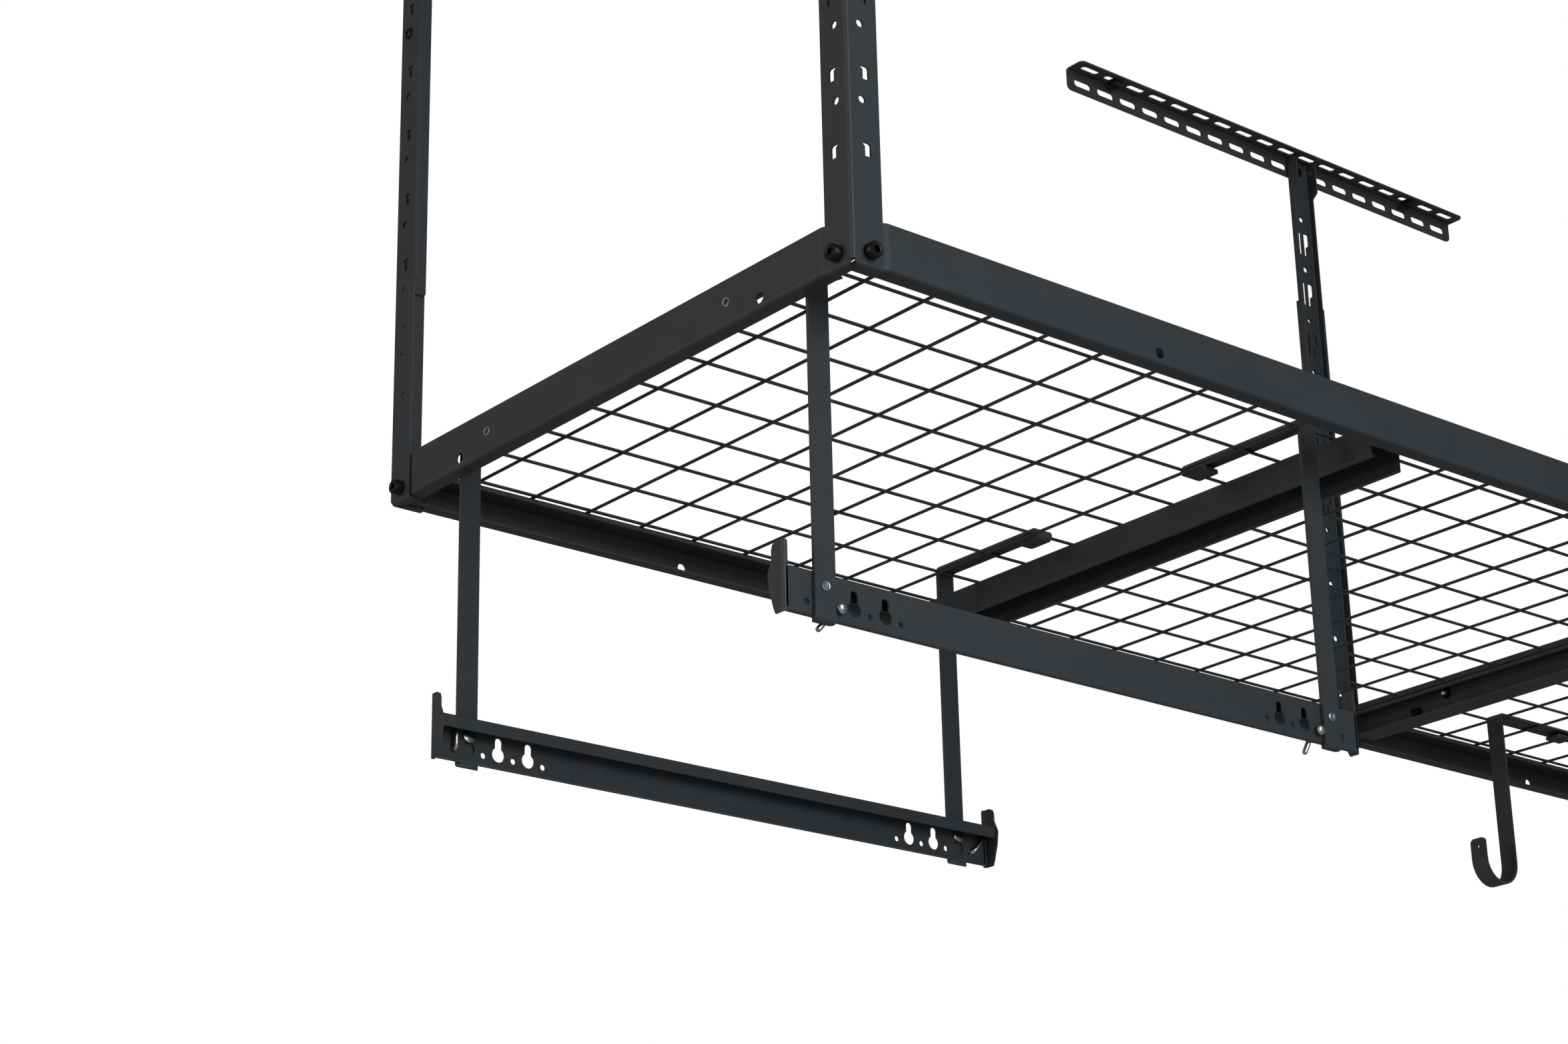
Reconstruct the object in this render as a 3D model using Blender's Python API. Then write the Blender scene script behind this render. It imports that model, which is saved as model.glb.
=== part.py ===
"""Ceiling-hung overhead storage rack: eight feet by two, in two modules end to end.

World frame: origin at the centre of the ceiling plane, +X along the rack, +Y across
it, +Z up. The near side is -Y, the left end is -X. All lengths are in metres.
"""
import math

import bmesh
import bpy
from mathutils import Vector

# ---- driving dimensions -------------------------------------------------------------
RACK_LENGTH = 2.4384        # outside to outside, two modules of four feet
RACK_DEPTH = 0.6096         # outside to outside of the long beams
DECK_DROP = 0.676           # ceiling to the plane where the deck wires cross
SHEET = 0.0015              # folded steel sheet
GAP = 0.0003                # air between pieces that touch
SHOULDER = 0.00005          # between the two rings of a turned piece's square shoulder

WIRE = 0.003                # deck wire diameter
WIRES_EACH_WAY = 10         # in each deck
DECK_NEAR_INSET = 0.00915   # near beam's outer face to the first long wire
DECK_FAR_INSET = 0.0258     # the deck lies against the near beam, with play on the far side
LAST_WIRE_TO_MIDDLE = 0.0614  # last cross wire to the middle of the module
WIRE_OVERHANG = 0.0015      # how far a wire runs past the outermost one
OUTER_DECK_INSET = 0.0112   # module end to the first cross wire of an outer deck
INNER_DECK_INSET = 0.0160   # the same at the seam of the two modules

BEAM_TOP = 0.0096           # above the wire plane
BEAM_BOTTOM = 0.0293        # below the wire plane
LEDGE_REACH = 0.030         # ledge that carries the deck, from a long beam's outer face
MIDDLE_LEDGE_REACH = 0.018  # the same on the beams at the seam of the modules
LEDGE_BEYOND_WIRE = 0.0015  # on the end beams, whose ledge stops beside the straps
LEDGE_LIP = 0.0045
BEAM_FLANGE = 0.0147        # bottom flange, from the beam's outer face
BEAM_HOLE = 0.009
BEAM_HOLE_FROM_END = 0.314
BEAM_HOLE_RISE = 0.009      # above the beam's bottom
INSERT_OFFSET = 0.1586      # end beam: threaded inserts either side of the middle
INSERT_RISE = 0.0198
OPEN_HOLE_OFFSET = 0.1983   # end beam: plain holes either side of the middle
OPEN_HOLE_RISE = 0.0086

SUPPORT_WIDTH = 0.036       # the channel under the joint of two decks
SUPPORT_SHEET = 0.0012
SUPPORT_LEFT_LEG = 0.028
SUPPORT_RIGHT_LEG = 0.036
SUPPORT_SHIFT = 0.0043      # its middle, to the right of the module's middle
SUPPORT_LIP = 0.005

POST_FLANGE = 0.030         # corner angle, each way
POST_OVERLAP_TOP = 0.4925   # top of the lower post, above the wire plane
POST_INNER_START = 0.173    # foot of the upper post, above the wire plane
POST_TAB = 0.010            # foot tab folded under the beam
POST_TAB_START = 0.012      # relief notch at the corner
POST_HOLE = 0.0062
POST_HOLE_STEP = 0.0635
POST_HOLE_OFFSET = 0.0136   # from the corner
POST_LOCK_HEIGHT = 0.4215   # the hole that the lock bolt uses, above the wire plane
CHANNEL_WIDTH = 0.037       # middle post
CHANNEL_DEPTH = 0.010
CHANNEL_HOLE_TOP = 0.0764   # top hole, below the ceiling
CHANNEL_EAR_DEPTH = 0.017
CHANNEL_EAR_HEIGHT = 0.040

BOLT_FROM_CORNER = 0.0167
BOLT_RISE = 0.010           # above the beam's bottom
BOLT_SHANK = 0.008
BOLT_HEAD = 0.013
BOLT_HEAD_HEIGHT = 0.008
BOLT_REACH = 0.012          # from the post's outer face
BOLT_CHAMFER = 0.0006
LOCK_CLEAR = 0.0005         # lock bolt in its hole, each side
LOCK_HEAD = 0.011
LOCK_HEAD_HEIGHT = 0.003

BRACKET_LENGTH = 0.640
BRACKET_LEG = 0.025
BRACKET_SHEET = 0.002
BRACKET_SLOTS = 18
BRACKET_SLOT_LENGTH = 0.025
BRACKET_SLOT_WIDTH = 0.008
BRACKET_SLOT_PITCH = 0.035
BRACKET_SLOT_INSET = 0.014  # slot's middle, from the bracket's outer corner
CORNER_BRACKET_OVERHANG = 0.1016
MIDDLE_BRACKET_SHIFT = -0.047

RAIL_PAST_STRAP = 0.036     # strap's middle to the rail's end
RAIL_BOTTOM = 0.2773        # below the wire plane
RAIL_HEIGHT = 0.035
RAIL_TOP_REACH = 0.016
RAIL_LIP = 0.011
RAIL_BOTTOM_REACH = 0.0035
EAR_REACH = 0.018
EAR_TOP_REACH = 0.0135      # the part of the ear above the rail's top
EAR_ABOVE = 0.0185          # ear above the rail's top
EAR_BELOW = 0.0008          # ear below the rail's bottom

STRAP_WIDTH = 0.0194
STRAP_THICK = 0.003
STRAP_CLEAR = 0.0022        # cross wire to the strap beside it
STRAP_ROW = 3.5             # long wire that it hooks over, in pitches from the middle
STRAP_REACH_ROWS = 2        # the arm ends at the second wire further in
STRAP_RETURN = 0.027
STRAP_FOOT_WIDE = 0.023     # widened foot, from the strap's middle to the pin side
STRAP_FOOT_HEIGHT = 0.024
STRAP_FOOT_TAB = 0.0066

KEYHOLE_STEP = 0.0148       # pitch of the holes along a rail's end
KEYHOLE_CIRCLE = 0.0125
KEYHOLE_SLOT = 0.007
KEYHOLE_CIRCLE_RISE = 0.0130
KEYHOLE_SLOT_TOP = 0.0272
PIN_RISE = 0.010            # pin above the rail's bottom
PIN = 0.0045
HOLE_CLEAR = 0.00035        # round a pin or a rivet, each side
PIN_DOME = 0.009
PIN_DOME_HEIGHT = 0.0026
TAIL_PLANE = 0.0045         # tail's middle, from the inner face of the rail's web
TAIL_CLEAR = 0.0007         # tail's tip to the underside of the rail's top
RIVET_RISE = 0.0237
RIVET_SHANK = 0.0048
RIVET_HEAD = 0.008
RIVET_HEAD_HEIGHT = 0.0010  # above the 0.3 mm gap
RIVET_INNER_HEAD = 0.011
RIVET_INNER_HEAD_HEIGHT = 0.0012

HOOK_WIDTH = 0.0195
HOOK_THICK = 0.0025
HOOK_CLEAR = 0.0011         # long wire to the hook's edge
HOOK_ROW = 3.5              # long wire that it stands beside, in pitches from the middle
HOOK_WIRE = 2               # cross wire of the third deck that it hangs beside
HOOK_REACH_WIRES = 2
HOOK_RETURN = 0.027
HOOK_DROP = 0.191           # wire plane to the lowest point
HOOK_RADIUS = 0.0246
HOOK_TIP = 0.022            # tip above the centre of the bend

# ---- places worked out from them ----------------------------------------------------
HALF_LENGTH = RACK_LENGTH / 2
HALF_DEPTH = RACK_DEPTH / 2
MODULE = RACK_LENGTH / 2
WIRE_PITCH_Y = (RACK_DEPTH - DECK_NEAR_INSET - DECK_FAR_INSET) / (WIRES_EACH_WAY - 1)
DECK_MIDDLE_Y = (DECK_NEAR_INSET - DECK_FAR_INSET) / 2
WIRE_PITCH_X = (MODULE / 2 - OUTER_DECK_INSET - LAST_WIRE_TO_MIDDLE) / (WIRES_EACH_WAY - 1)
END_LEDGE_REACH = OUTER_DECK_INSET + WIRE / 2 + LEDGE_BEYOND_WIRE
WIRE_PLANE = -DECK_DROP
BEAM_HIGH = WIRE_PLANE + BEAM_TOP
BEAM_LOW = WIRE_PLANE - BEAM_BOTTOM
LEDGE_TOP = WIRE_PLANE - WIRE - GAP
JOGGLE = SHEET + GAP        # how far a beam's end is set in behind a post
HEM = 2 * SHEET             # web and the fold that lies against it
SEAM = GAP / 2              # each middle beam's outer face, from the seam
POST_LOW = BEAM_LOW - GAP - SHEET
POST_LOWER_TOP = WIRE_PLANE + POST_OVERLAP_TOP
POST_UPPER_LOW = WIRE_PLANE + POST_INNER_START
POST_UPPER_TOP = -BRACKET_SHEET - GAP
BOLT_Z = BEAM_LOW + BOLT_RISE
BOLT_HOLE = BOLT_SHANK + 2 * GAP
LOCK_Z = WIRE_PLANE + POST_LOCK_HEIGHT
RAIL_LOW = WIRE_PLANE - RAIL_BOTTOM
RAIL_HIGH = RAIL_LOW + RAIL_HEIGHT
STRAP_WIRE_Y = STRAP_ROW * WIRE_PITCH_Y
STRAP_INNER = STRAP_WIRE_Y + WIRE / 2 + GAP      # strap's face towards the rail
STRAP_OUTER = STRAP_INNER + STRAP_THICK
RAIL_OUTER = STRAP_INNER - GAP                   # outer face of the rail's web
ARM_LOW = WIRE_PLANE + WIRE + GAP
ARM_HIGH = ARM_LOW + STRAP_THICK
ROWS_SPAN = (WIRES_EACH_WAY - 1) * WIRE_PITCH_Y
STRAP_SPAN = (WIRES_EACH_WAY - 1) * WIRE_PITCH_X
STRAP_LEFT = -HALF_LENGTH + OUTER_DECK_INSET + WIRE / 2 + STRAP_CLEAR + STRAP_WIDTH / 2
RAIL_CENTRE_X = STRAP_LEFT + STRAP_SPAN / 2
RAIL_LENGTH = STRAP_SPAN + 2 * RAIL_PAST_STRAP
PIN_HOLE = PIN + 2 * HOLE_CLEAR
RIVET_HOLE = RIVET_SHANK + 2 * HOLE_CLEAR
TAIL_LENGTH = RAIL_HEIGHT - SHEET - PIN_RISE - TAIL_CLEAR
LOCK_SHANK = POST_HOLE - 2 * LOCK_CLEAR
HOOK_Y = DECK_MIDDLE_Y + HOOK_ROW * WIRE_PITCH_Y - WIRE / 2 - HOOK_CLEAR - HOOK_WIDTH / 2

BLACK_COAT = ("black_powder_coat", (0.028, 0.031, 0.034, 1.0), 0.55, 0.0)
BLACK_OXIDE = ("black_oxide_bolt", (0.012, 0.012, 0.013, 1.0), 0.32, 0.9)
BRIGHT_STEEL = ("bright_steel", (0.55, 0.54, 0.52, 1.0), 0.28, 1.0)


def clear_scene():
    for old in list(bpy.data.objects):
        bpy.data.objects.remove(old, do_unlink=True)


def material(finish):
    """The Principled BSDF for a (name, colour, roughness, metallic) finish."""
    name, colour, roughness, metallic = finish
    found = bpy.data.materials.get(name)
    if found:
        return found
    made = bpy.data.materials.new(name)
    made.use_nodes = True
    shader = made.node_tree.nodes["Principled BSDF"]
    shader.inputs["Base Color"].default_value = colour
    shader.inputs["Roughness"].default_value = roughness
    shader.inputs["Metallic"].default_value = metallic
    return made


def add_object(name, bm, finish, place=(0.0, 0.0, 0.0)):
    """Turn a bmesh into a named object with its finish, at a place."""
    mesh = bpy.data.meshes.new(name)
    bm.to_mesh(mesh)
    bm.free()
    mesh.materials.append(material(finish))
    made = bpy.data.objects.new(name, mesh)
    made.location = place
    bpy.context.scene.collection.objects.link(made)
    return made


# ---- folded sheet: boxes joined on one grid -----------------------------------------
def inside(box, point):
    return all(box[2 * k] < point[k] < box[2 * k + 1] for k in range(3))


def folded_sheet(name, solids, holes, finish=BLACK_COAT):
    """One closed body from boxes (x0, x1, y0, y1, z0, z1) less the boxes in holes.

    Every face plane of every box cuts a common grid. A face is made wherever a filled
    cell meets an empty one, and faces in one plane are then dissolved together.
    """
    cuts = [sorted({round(box[2 * k + side], 7) for box in solids + holes for side in (0, 1)})
            for k in range(3)]
    middles = [[(low + high) / 2 for low, high in zip(c, c[1:])] for c in cuts]
    filled = set()
    for i, x in enumerate(middles[0]):
        near_x = [box for box in solids if box[0] < x < box[1]]
        if not near_x:
            continue
        for j, y in enumerate(middles[1]):
            near_y = [box for box in near_x if box[2] < y < box[3]]
            if not near_y:
                continue
            for k, z in enumerate(middles[2]):
                if not any(box[4] < z < box[5] for box in near_y):
                    continue
                if not any(inside(box, (x, y, z)) for box in holes):
                    filled.add((i, j, k))

    bm = bmesh.new()
    corners = {}

    def corner(i, j, k):
        if (i, j, k) not in corners:
            corners[i, j, k] = bm.verts.new((cuts[0][i], cuts[1][j], cuts[2][k]))
        return corners[i, j, k]

    for i, j, k in filled:
        if (i - 1, j, k) not in filled:
            ring = ((i, j, k), (i, j, k + 1), (i, j + 1, k + 1), (i, j + 1, k))
            bm.faces.new([corner(*c) for c in ring])
        if (i + 1, j, k) not in filled:
            ring = ((i + 1, j, k), (i + 1, j + 1, k), (i + 1, j + 1, k + 1), (i + 1, j, k + 1))
            bm.faces.new([corner(*c) for c in ring])
        if (i, j - 1, k) not in filled:
            ring = ((i, j, k), (i + 1, j, k), (i + 1, j, k + 1), (i, j, k + 1))
            bm.faces.new([corner(*c) for c in ring])
        if (i, j + 1, k) not in filled:
            ring = ((i, j + 1, k), (i, j + 1, k + 1), (i + 1, j + 1, k + 1), (i + 1, j + 1, k))
            bm.faces.new([corner(*c) for c in ring])
        if (i, j, k - 1) not in filled:
            ring = ((i, j, k), (i, j + 1, k), (i + 1, j + 1, k), (i + 1, j, k))
            bm.faces.new([corner(*c) for c in ring])
        if (i, j, k + 1) not in filled:
            ring = ((i, j, k + 1), (i + 1, j, k + 1), (i + 1, j + 1, k + 1), (i, j + 1, k + 1))
            bm.faces.new([corner(*c) for c in ring])
    bmesh.ops.dissolve_limit(bm, angle_limit=math.radians(1), verts=bm.verts, edges=bm.edges)
    return add_object(name, bm, finish)


def mapped(boxes, along, across, low_face, sign):
    """Boxes given as (along, depth inward, z), put in the world.

    along and across are the world axes; depth runs inward from the world place
    low_face, towards + when sign is 1 and towards - when it is -1.
    """
    out = []
    for s0, s1, d0, d1, z0, z1 in boxes:
        depth = sorted((low_face + sign * d0, low_face + sign * d1))
        world = [0.0] * 6
        world[2 * along], world[2 * along + 1] = s0, s1
        world[2 * across], world[2 * across + 1] = depth
        world[4], world[5] = z0, z1
        out.append(tuple(world))
    return out


def square_hole(s, z, size, d1=0.02):
    """A square through-cut in a web: place along, height, size, depth of the cut."""
    return (s - size / 2, s + size / 2, -d1, d1, z - size / 2, z + size / 2)


# ---- beams --------------------------------------------------------------------------
def beam_boxes(start, end, set_in_start, set_in_end, notch, ledge):
    """The folded beam: web, hem, ledge with its lip, and bottom flange.

    set_in_start and set_in_end are the lengths set in behind a post; notch is the
    length at each end that keeps only its web and hem, and ledge is the ledge's reach.
    """
    a = start + set_in_start
    b = end - set_in_end
    step = SHEET + JOGGLE
    boxes = [(a, b, 0, SHEET, BEAM_LOW, BEAM_HIGH), (a, b, 0, HEM, LEDGE_TOP - SHEET, BEAM_HIGH)]
    for s0, s1, length in ((start, a, set_in_start), (b, end, set_in_end)):
        if length:
            boxes.append((s0, s1, JOGGLE, step, BEAM_LOW, BEAM_HIGH))
            boxes.append((s0, s1, JOGGLE, JOGGLE + HEM, LEDGE_TOP - SHEET, BEAM_HIGH))
    for s0 in ([a] if set_in_start else []) + ([b - 2 * SHEET] if set_in_end else []):
        boxes.append((s0, s0 + 2 * SHEET, 0, step, BEAM_LOW, BEAM_HIGH))
        boxes.append((s0, s0 + 2 * SHEET, 0, JOGGLE + HEM, LEDGE_TOP - SHEET, BEAM_HIGH))
    inner = (start + notch, end - notch)
    flat = (max(a, start + notch), min(b, end - notch))
    boxes.append((*inner, JOGGLE, ledge, LEDGE_TOP - SHEET, LEDGE_TOP))
    boxes.append((*inner, ledge - SHEET, ledge, LEDGE_TOP - LEDGE_LIP, LEDGE_TOP))
    boxes.append((*inner, JOGGLE, BEAM_FLANGE, BEAM_LOW, BEAM_LOW + SHEET))
    boxes.append((*flat, 0, BEAM_FLANGE, BEAM_LOW, BEAM_LOW + SHEET))
    return boxes


def long_beam(name, side, half):
    """One long beam of a module. side is -1 near or 1 far, half is -1 left or 1 right."""
    outer = HALF_LENGTH - JOGGLE - HEM - GAP
    seam = SEAM + HEM + GAP
    start, end = sorted((half * outer, half * seam))
    corner_in = POST_FLANGE + GAP
    middle_in = CHANNEL_WIDTH / 2 + GAP
    ends = (corner_in, middle_in) if half < 0 else (middle_in, corner_in)
    solids = beam_boxes(start, end, *ends, 0, LEDGE_REACH)
    rise = BEAM_LOW + BEAM_HOLE_RISE
    from_seam, from_end = BEAM_HOLE_FROM_END, HALF_LENGTH - BEAM_HOLE_FROM_END
    holes = [square_hole(half * s, rise, BEAM_HOLE) for s in (from_seam, from_end)]
    holes.append(square_hole(half * (HALF_LENGTH - BOLT_FROM_CORNER), BOLT_Z, BOLT_HOLE))
    face = side * HALF_DEPTH
    return folded_sheet(name, mapped(solids, 0, 1, face, -side), mapped(holes, 0, 1, face, -side))


def cross_beam(name, face, sign, behind_post):
    """An end or middle beam. face is its outer plane in X, sign points inward."""
    reach = HALF_DEPTH - JOGGLE
    notch = LEDGE_REACH + GAP - JOGGLE
    set_in = POST_FLANGE + GAP - JOGGLE if behind_post else 0
    ledge = END_LEDGE_REACH if behind_post else MIDDLE_LEDGE_REACH
    solids = beam_boxes(-reach, reach, set_in, set_in, notch, ledge)
    holes = []
    for side in (-1, 1):
        holes.append(square_hole(side * INSERT_OFFSET, BEAM_LOW + INSERT_RISE, BEAM_HOLE))
        holes.append(square_hole(side * OPEN_HOLE_OFFSET, BEAM_LOW + OPEN_HOLE_RISE, BEAM_HOLE))
        if behind_post:
            holes.append(square_hole(side * (HALF_DEPTH - BOLT_FROM_CORNER), BOLT_Z, BOLT_HOLE))
    return folded_sheet(name, mapped(solids, 1, 0, face, sign), mapped(holes, 1, 0, face, sign))


def deck_support(name, module_start):
    """The inverted channel across the middle of a module, under two decks' edges."""
    left = module_start + MODULE / 2 + SUPPORT_SHIFT - SUPPORT_WIDTH / 2
    right = left + SUPPORT_WIDTH
    top = WIRE_PLANE - GAP
    reach = HALF_DEPTH - HEM - GAP
    legs = HALF_DEPTH - LEDGE_REACH - GAP
    low_left = top - SUPPORT_LEFT_LEG
    low_right = top - SUPPORT_RIGHT_LEG
    t = SUPPORT_SHEET
    solids = [
        (left, right, -reach, reach, top - t, top),
        (left, left + t, -legs, legs, low_left, top),
        (left, left + SUPPORT_LIP, -legs, legs, low_left, low_left + t),
        (right - t, right, -legs, legs, low_right, top),
        (right - SUPPORT_LIP, right, -legs, legs, low_right, low_right + t),
    ]
    return folded_sheet(name, solids, [])


# ---- wire decks ---------------------------------------------------------------------
def wire_deck(name, first_wire, towards, support_edge):
    """Ten cross wires below and ten long wires above, welded where they cross.

    first_wire is the X of the outermost cross wire, towards is the sign of the way
    to the other wires, and support_edge is where the long wires end.
    """
    r = WIRE / 2
    side = ROWS_SPAN / 2 + r + WIRE_OVERHANG
    solids = []
    for i in range(WIRES_EACH_WAY):
        x = first_wire + towards * i * WIRE_PITCH_X
        near, far = DECK_MIDDLE_Y - side, DECK_MIDDLE_Y + side
        solids.append((x - r, x + r, near, far, WIRE_PLANE - WIRE, WIRE_PLANE))
    ends = sorted((first_wire - towards * (r + WIRE_OVERHANG), support_edge))
    for j in range(WIRES_EACH_WAY):
        y = DECK_MIDDLE_Y - ROWS_SPAN / 2 + j * WIRE_PITCH_Y
        solids.append((*ends, y - r, y + r, WIRE_PLANE, WIRE_PLANE + WIRE))
    return folded_sheet(name, solids, [])


# ---- posts --------------------------------------------------------------------------
def hole_heights(first, low, high):
    """Heights on the post's hole pitch through first, clear of both ends."""
    margin = POST_HOLE
    start = math.ceil((low + margin - first) / POST_HOLE_STEP)
    stop = math.floor((high - margin - first) / POST_HOLE_STEP)
    return [first + n * POST_HOLE_STEP for n in range(start, stop + 1)]


def corner_post(name, end, side, upper):
    """A corner angle. end is -1 left or 1 right, side is -1 near or 1 far.

    The boxes are laid out from the corner inward and then mirrored into place.
    """
    inset = JOGGLE if upper else 0.0
    low = POST_UPPER_LOW if upper else POST_LOW
    high = POST_UPPER_TOP if upper else POST_LOWER_TOP
    o, i, f = inset, inset + SHEET, POST_FLANGE
    solids = [(o, f, o, i, low, high), (o, i, o, f, low, high)]
    if not upper:
        tab = (low, low + SHEET)
        solids.append((POST_TAB_START, f, 0, POST_TAB, *tab))
        solids.append((0, POST_TAB, POST_TAB_START, f, *tab))
    h = POST_HOLE / 2
    y = POST_HOLE_OFFSET
    holes = [(-1, i + GAP, y - h, y + h, z - h, z + h) for z in hole_heights(LOCK_Z, low, high)]
    if not upper:
        b, c = BOLT_HOLE / 2, BOLT_FROM_CORNER
        holes.append((c - b, c + b, -1, i + GAP, BOLT_Z - b, BOLT_Z + b))
        holes.append((-1, i + GAP, c - b, c + b, BOLT_Z - b, BOLT_Z + b))
    solids = [mirrored(box, end, side) for box in solids]
    holes = [mirrored(box, end, side) for box in holes]
    return folded_sheet(name, solids, holes)


def mirrored(box, end, side):
    """A box laid out inward from a corner, put at the rack's (end, side) corner."""
    x = sorted((end * (HALF_LENGTH - box[0]), end * (HALF_LENGTH - box[1])))
    y = sorted((side * (HALF_DEPTH - box[2]), side * (HALF_DEPTH - box[3])))
    return (*x, *y, box[4], box[5])


def middle_post(name, side, upper):
    """A middle channel, web outward; its lower piece is plain web beside the beams."""
    inset = JOGGLE if upper else 0.0
    low = POST_UPPER_LOW if upper else POST_LOW
    high = POST_UPPER_TOP if upper else POST_LOWER_TOP
    half = CHANNEL_WIDTH / 2 - inset
    flange_low = low if upper else BEAM_HIGH + GAP
    solids = [(-half, half, inset, inset + SHEET, low, high)]
    for s in (-1, 1):
        flange = sorted((s * half, s * (half - SHEET)))
        solids.append((*flange, inset, CHANNEL_DEPTH, flange_low, high))
        if upper:
            ear_low = high - CHANNEL_EAR_HEIGHT
            solids.append((*flange, inset, CHANNEL_EAR_DEPTH, ear_low, high))
    if not upper:
        solids.append((-half, half, 0, POST_TAB, low, low + SHEET))
    heights = hole_heights(-CHANNEL_HOLE_TOP, max(low, flange_low), high)
    holes = [square_hole(0.0, z, POST_HOLE, CHANNEL_DEPTH) for z in heights]
    face = side * HALF_DEPTH
    return folded_sheet(name, mapped(solids, 0, 1, face, -side), mapped(holes, 0, 1, face, -side))


def ceiling_bracket(name, middle, side):
    """A slotted angle: one leg flat on the ceiling, the other down behind the post."""
    start, end = middle - BRACKET_LENGTH / 2, middle + BRACKET_LENGTH / 2
    t = BRACKET_SHEET
    solids = [(start, end, 0, BRACKET_LEG, -t, 0), (start, end, 0, t, -BRACKET_LEG, 0)]
    first = middle - (BRACKET_SLOTS - 1) / 2 * BRACKET_SLOT_PITCH
    half_long, half_wide = BRACKET_SLOT_LENGTH / 2, BRACKET_SLOT_WIDTH / 2
    low, high = BRACKET_SLOT_INSET - half_wide, BRACKET_SLOT_INSET + half_wide
    holes = []
    for n in range(BRACKET_SLOTS):
        x = first + n * BRACKET_SLOT_PITCH
        holes.append((x - half_long, x + half_long, low, high, -2 * t, t))
        holes.append((x - half_long, x + half_long, -t, 2 * t, -high, -low))
    face = side * (HALF_DEPTH - JOGGLE + GAP + t)
    return folded_sheet(name, mapped(solids, 0, 1, face, -side), mapped(holes, 0, 1, face, -side))


# ---- rails and their hangers --------------------------------------------------------
def rail_holes(strap_x, inward):
    """The keyholes and pin holes at one end of a rail; inward points to its middle."""
    holes = []
    for n in (0, 2, 4):
        x = strap_x + inward * n * KEYHOLE_STEP
        circle, slot = KEYHOLE_CIRCLE / 2, KEYHOLE_SLOT / 2
        centre = RAIL_LOW + KEYHOLE_CIRCLE_RISE
        deep = 2 * SHEET
        holes.append((x - circle, x + circle, -deep, deep, centre - circle, centre + circle))
        holes.append((x - slot, x + slot, -deep, deep, centre, RAIL_LOW + KEYHOLE_SLOT_TOP))
    for n in (-1, 1, 3, 5):
        x = strap_x + inward * n * KEYHOLE_STEP
        holes.append(square_hole(x, RAIL_LOW + PIN_RISE, PIN_HOLE, 2 * SHEET))
    return holes


def hanging_rail(name, side):
    """A channel open towards the other rail, with an upturned ear at each end."""
    start, end = RAIL_CENTRE_X - RAIL_LENGTH / 2, RAIL_CENTRE_X + RAIL_LENGTH / 2
    t = SHEET
    solids = [
        (start, end, 0, t, RAIL_LOW, RAIL_HIGH),
        (start, end, 0, RAIL_TOP_REACH, RAIL_HIGH - t, RAIL_HIGH),
        (start, end, RAIL_TOP_REACH - t, RAIL_TOP_REACH, RAIL_HIGH - RAIL_LIP, RAIL_HIGH),
        (start, end, 0, RAIL_BOTTOM_REACH, RAIL_LOW, RAIL_LOW + t),
    ]
    ear_low, ear_high = RAIL_LOW - EAR_BELOW, RAIL_HIGH + EAR_ABOVE
    for x0, x1 in ((start, start + t), (end - t, end)):
        solids.append((x0, x1, 0, EAR_REACH, ear_low, RAIL_HIGH))
        solids.append((x0, x1, 0, EAR_TOP_REACH, RAIL_HIGH, ear_high))
    holes = []
    for inward in (1, -1):
        holes += rail_holes(RAIL_CENTRE_X - inward * STRAP_SPAN / 2, inward)
    face = DECK_MIDDLE_Y + side * RAIL_OUTER
    return folded_sheet(name, mapped(solids, 0, 1, face, -side), mapped(holes, 0, 1, face, -side))


def hanger_strap(name, x, side, pin_way):
    """A flat strap: foot under the rail, up past the deck, over two wires and back.

    pin_way is the sign, along X, of the side that its foot widens to for the pin.
    """
    half, t = STRAP_WIDTH / 2, STRAP_THICK
    bottom = RAIL_LOW - GAP - t
    last_wire = STRAP_WIRE_Y - STRAP_REACH_ROWS * WIRE_PITCH_Y
    bend_in = STRAP_OUTER - (last_wire - WIRE / 2 - GAP - t)
    low_back = WIRE_PLANE - GAP
    wide = sorted((x - pin_way * half, x + pin_way * STRAP_FOOT_WIDE))
    foot_low = RAIL_LOW + GAP
    solids = [
        (x - half, x + half, 0, t, bottom, ARM_HIGH),
        (x - half, x + half, 0, bend_in, ARM_LOW, ARM_HIGH),
        (x - half, x + half, bend_in - t, bend_in, low_back - t, ARM_HIGH),
        (x - half, x + half, bend_in - STRAP_RETURN, bend_in, low_back - t, low_back),
        (*wide, 0, t, foot_low, foot_low + STRAP_FOOT_HEIGHT),
        (x - half, x + half, 0, STRAP_FOOT_TAB, bottom, bottom + t),
    ]
    pin_x = x + pin_way * KEYHOLE_STEP
    holes = [square_hole(pin_x, RAIL_LOW + PIN_RISE, PIN_HOLE, 2 * t),
             square_hole(x, RAIL_LOW + RIVET_RISE, RIVET_HOLE, t + GAP)]
    face = DECK_MIDDLE_Y + side * STRAP_OUTER
    return folded_sheet(name, mapped(solids, 0, 1, face, -side), mapped(holes, 0, 1, face, -side))


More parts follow.
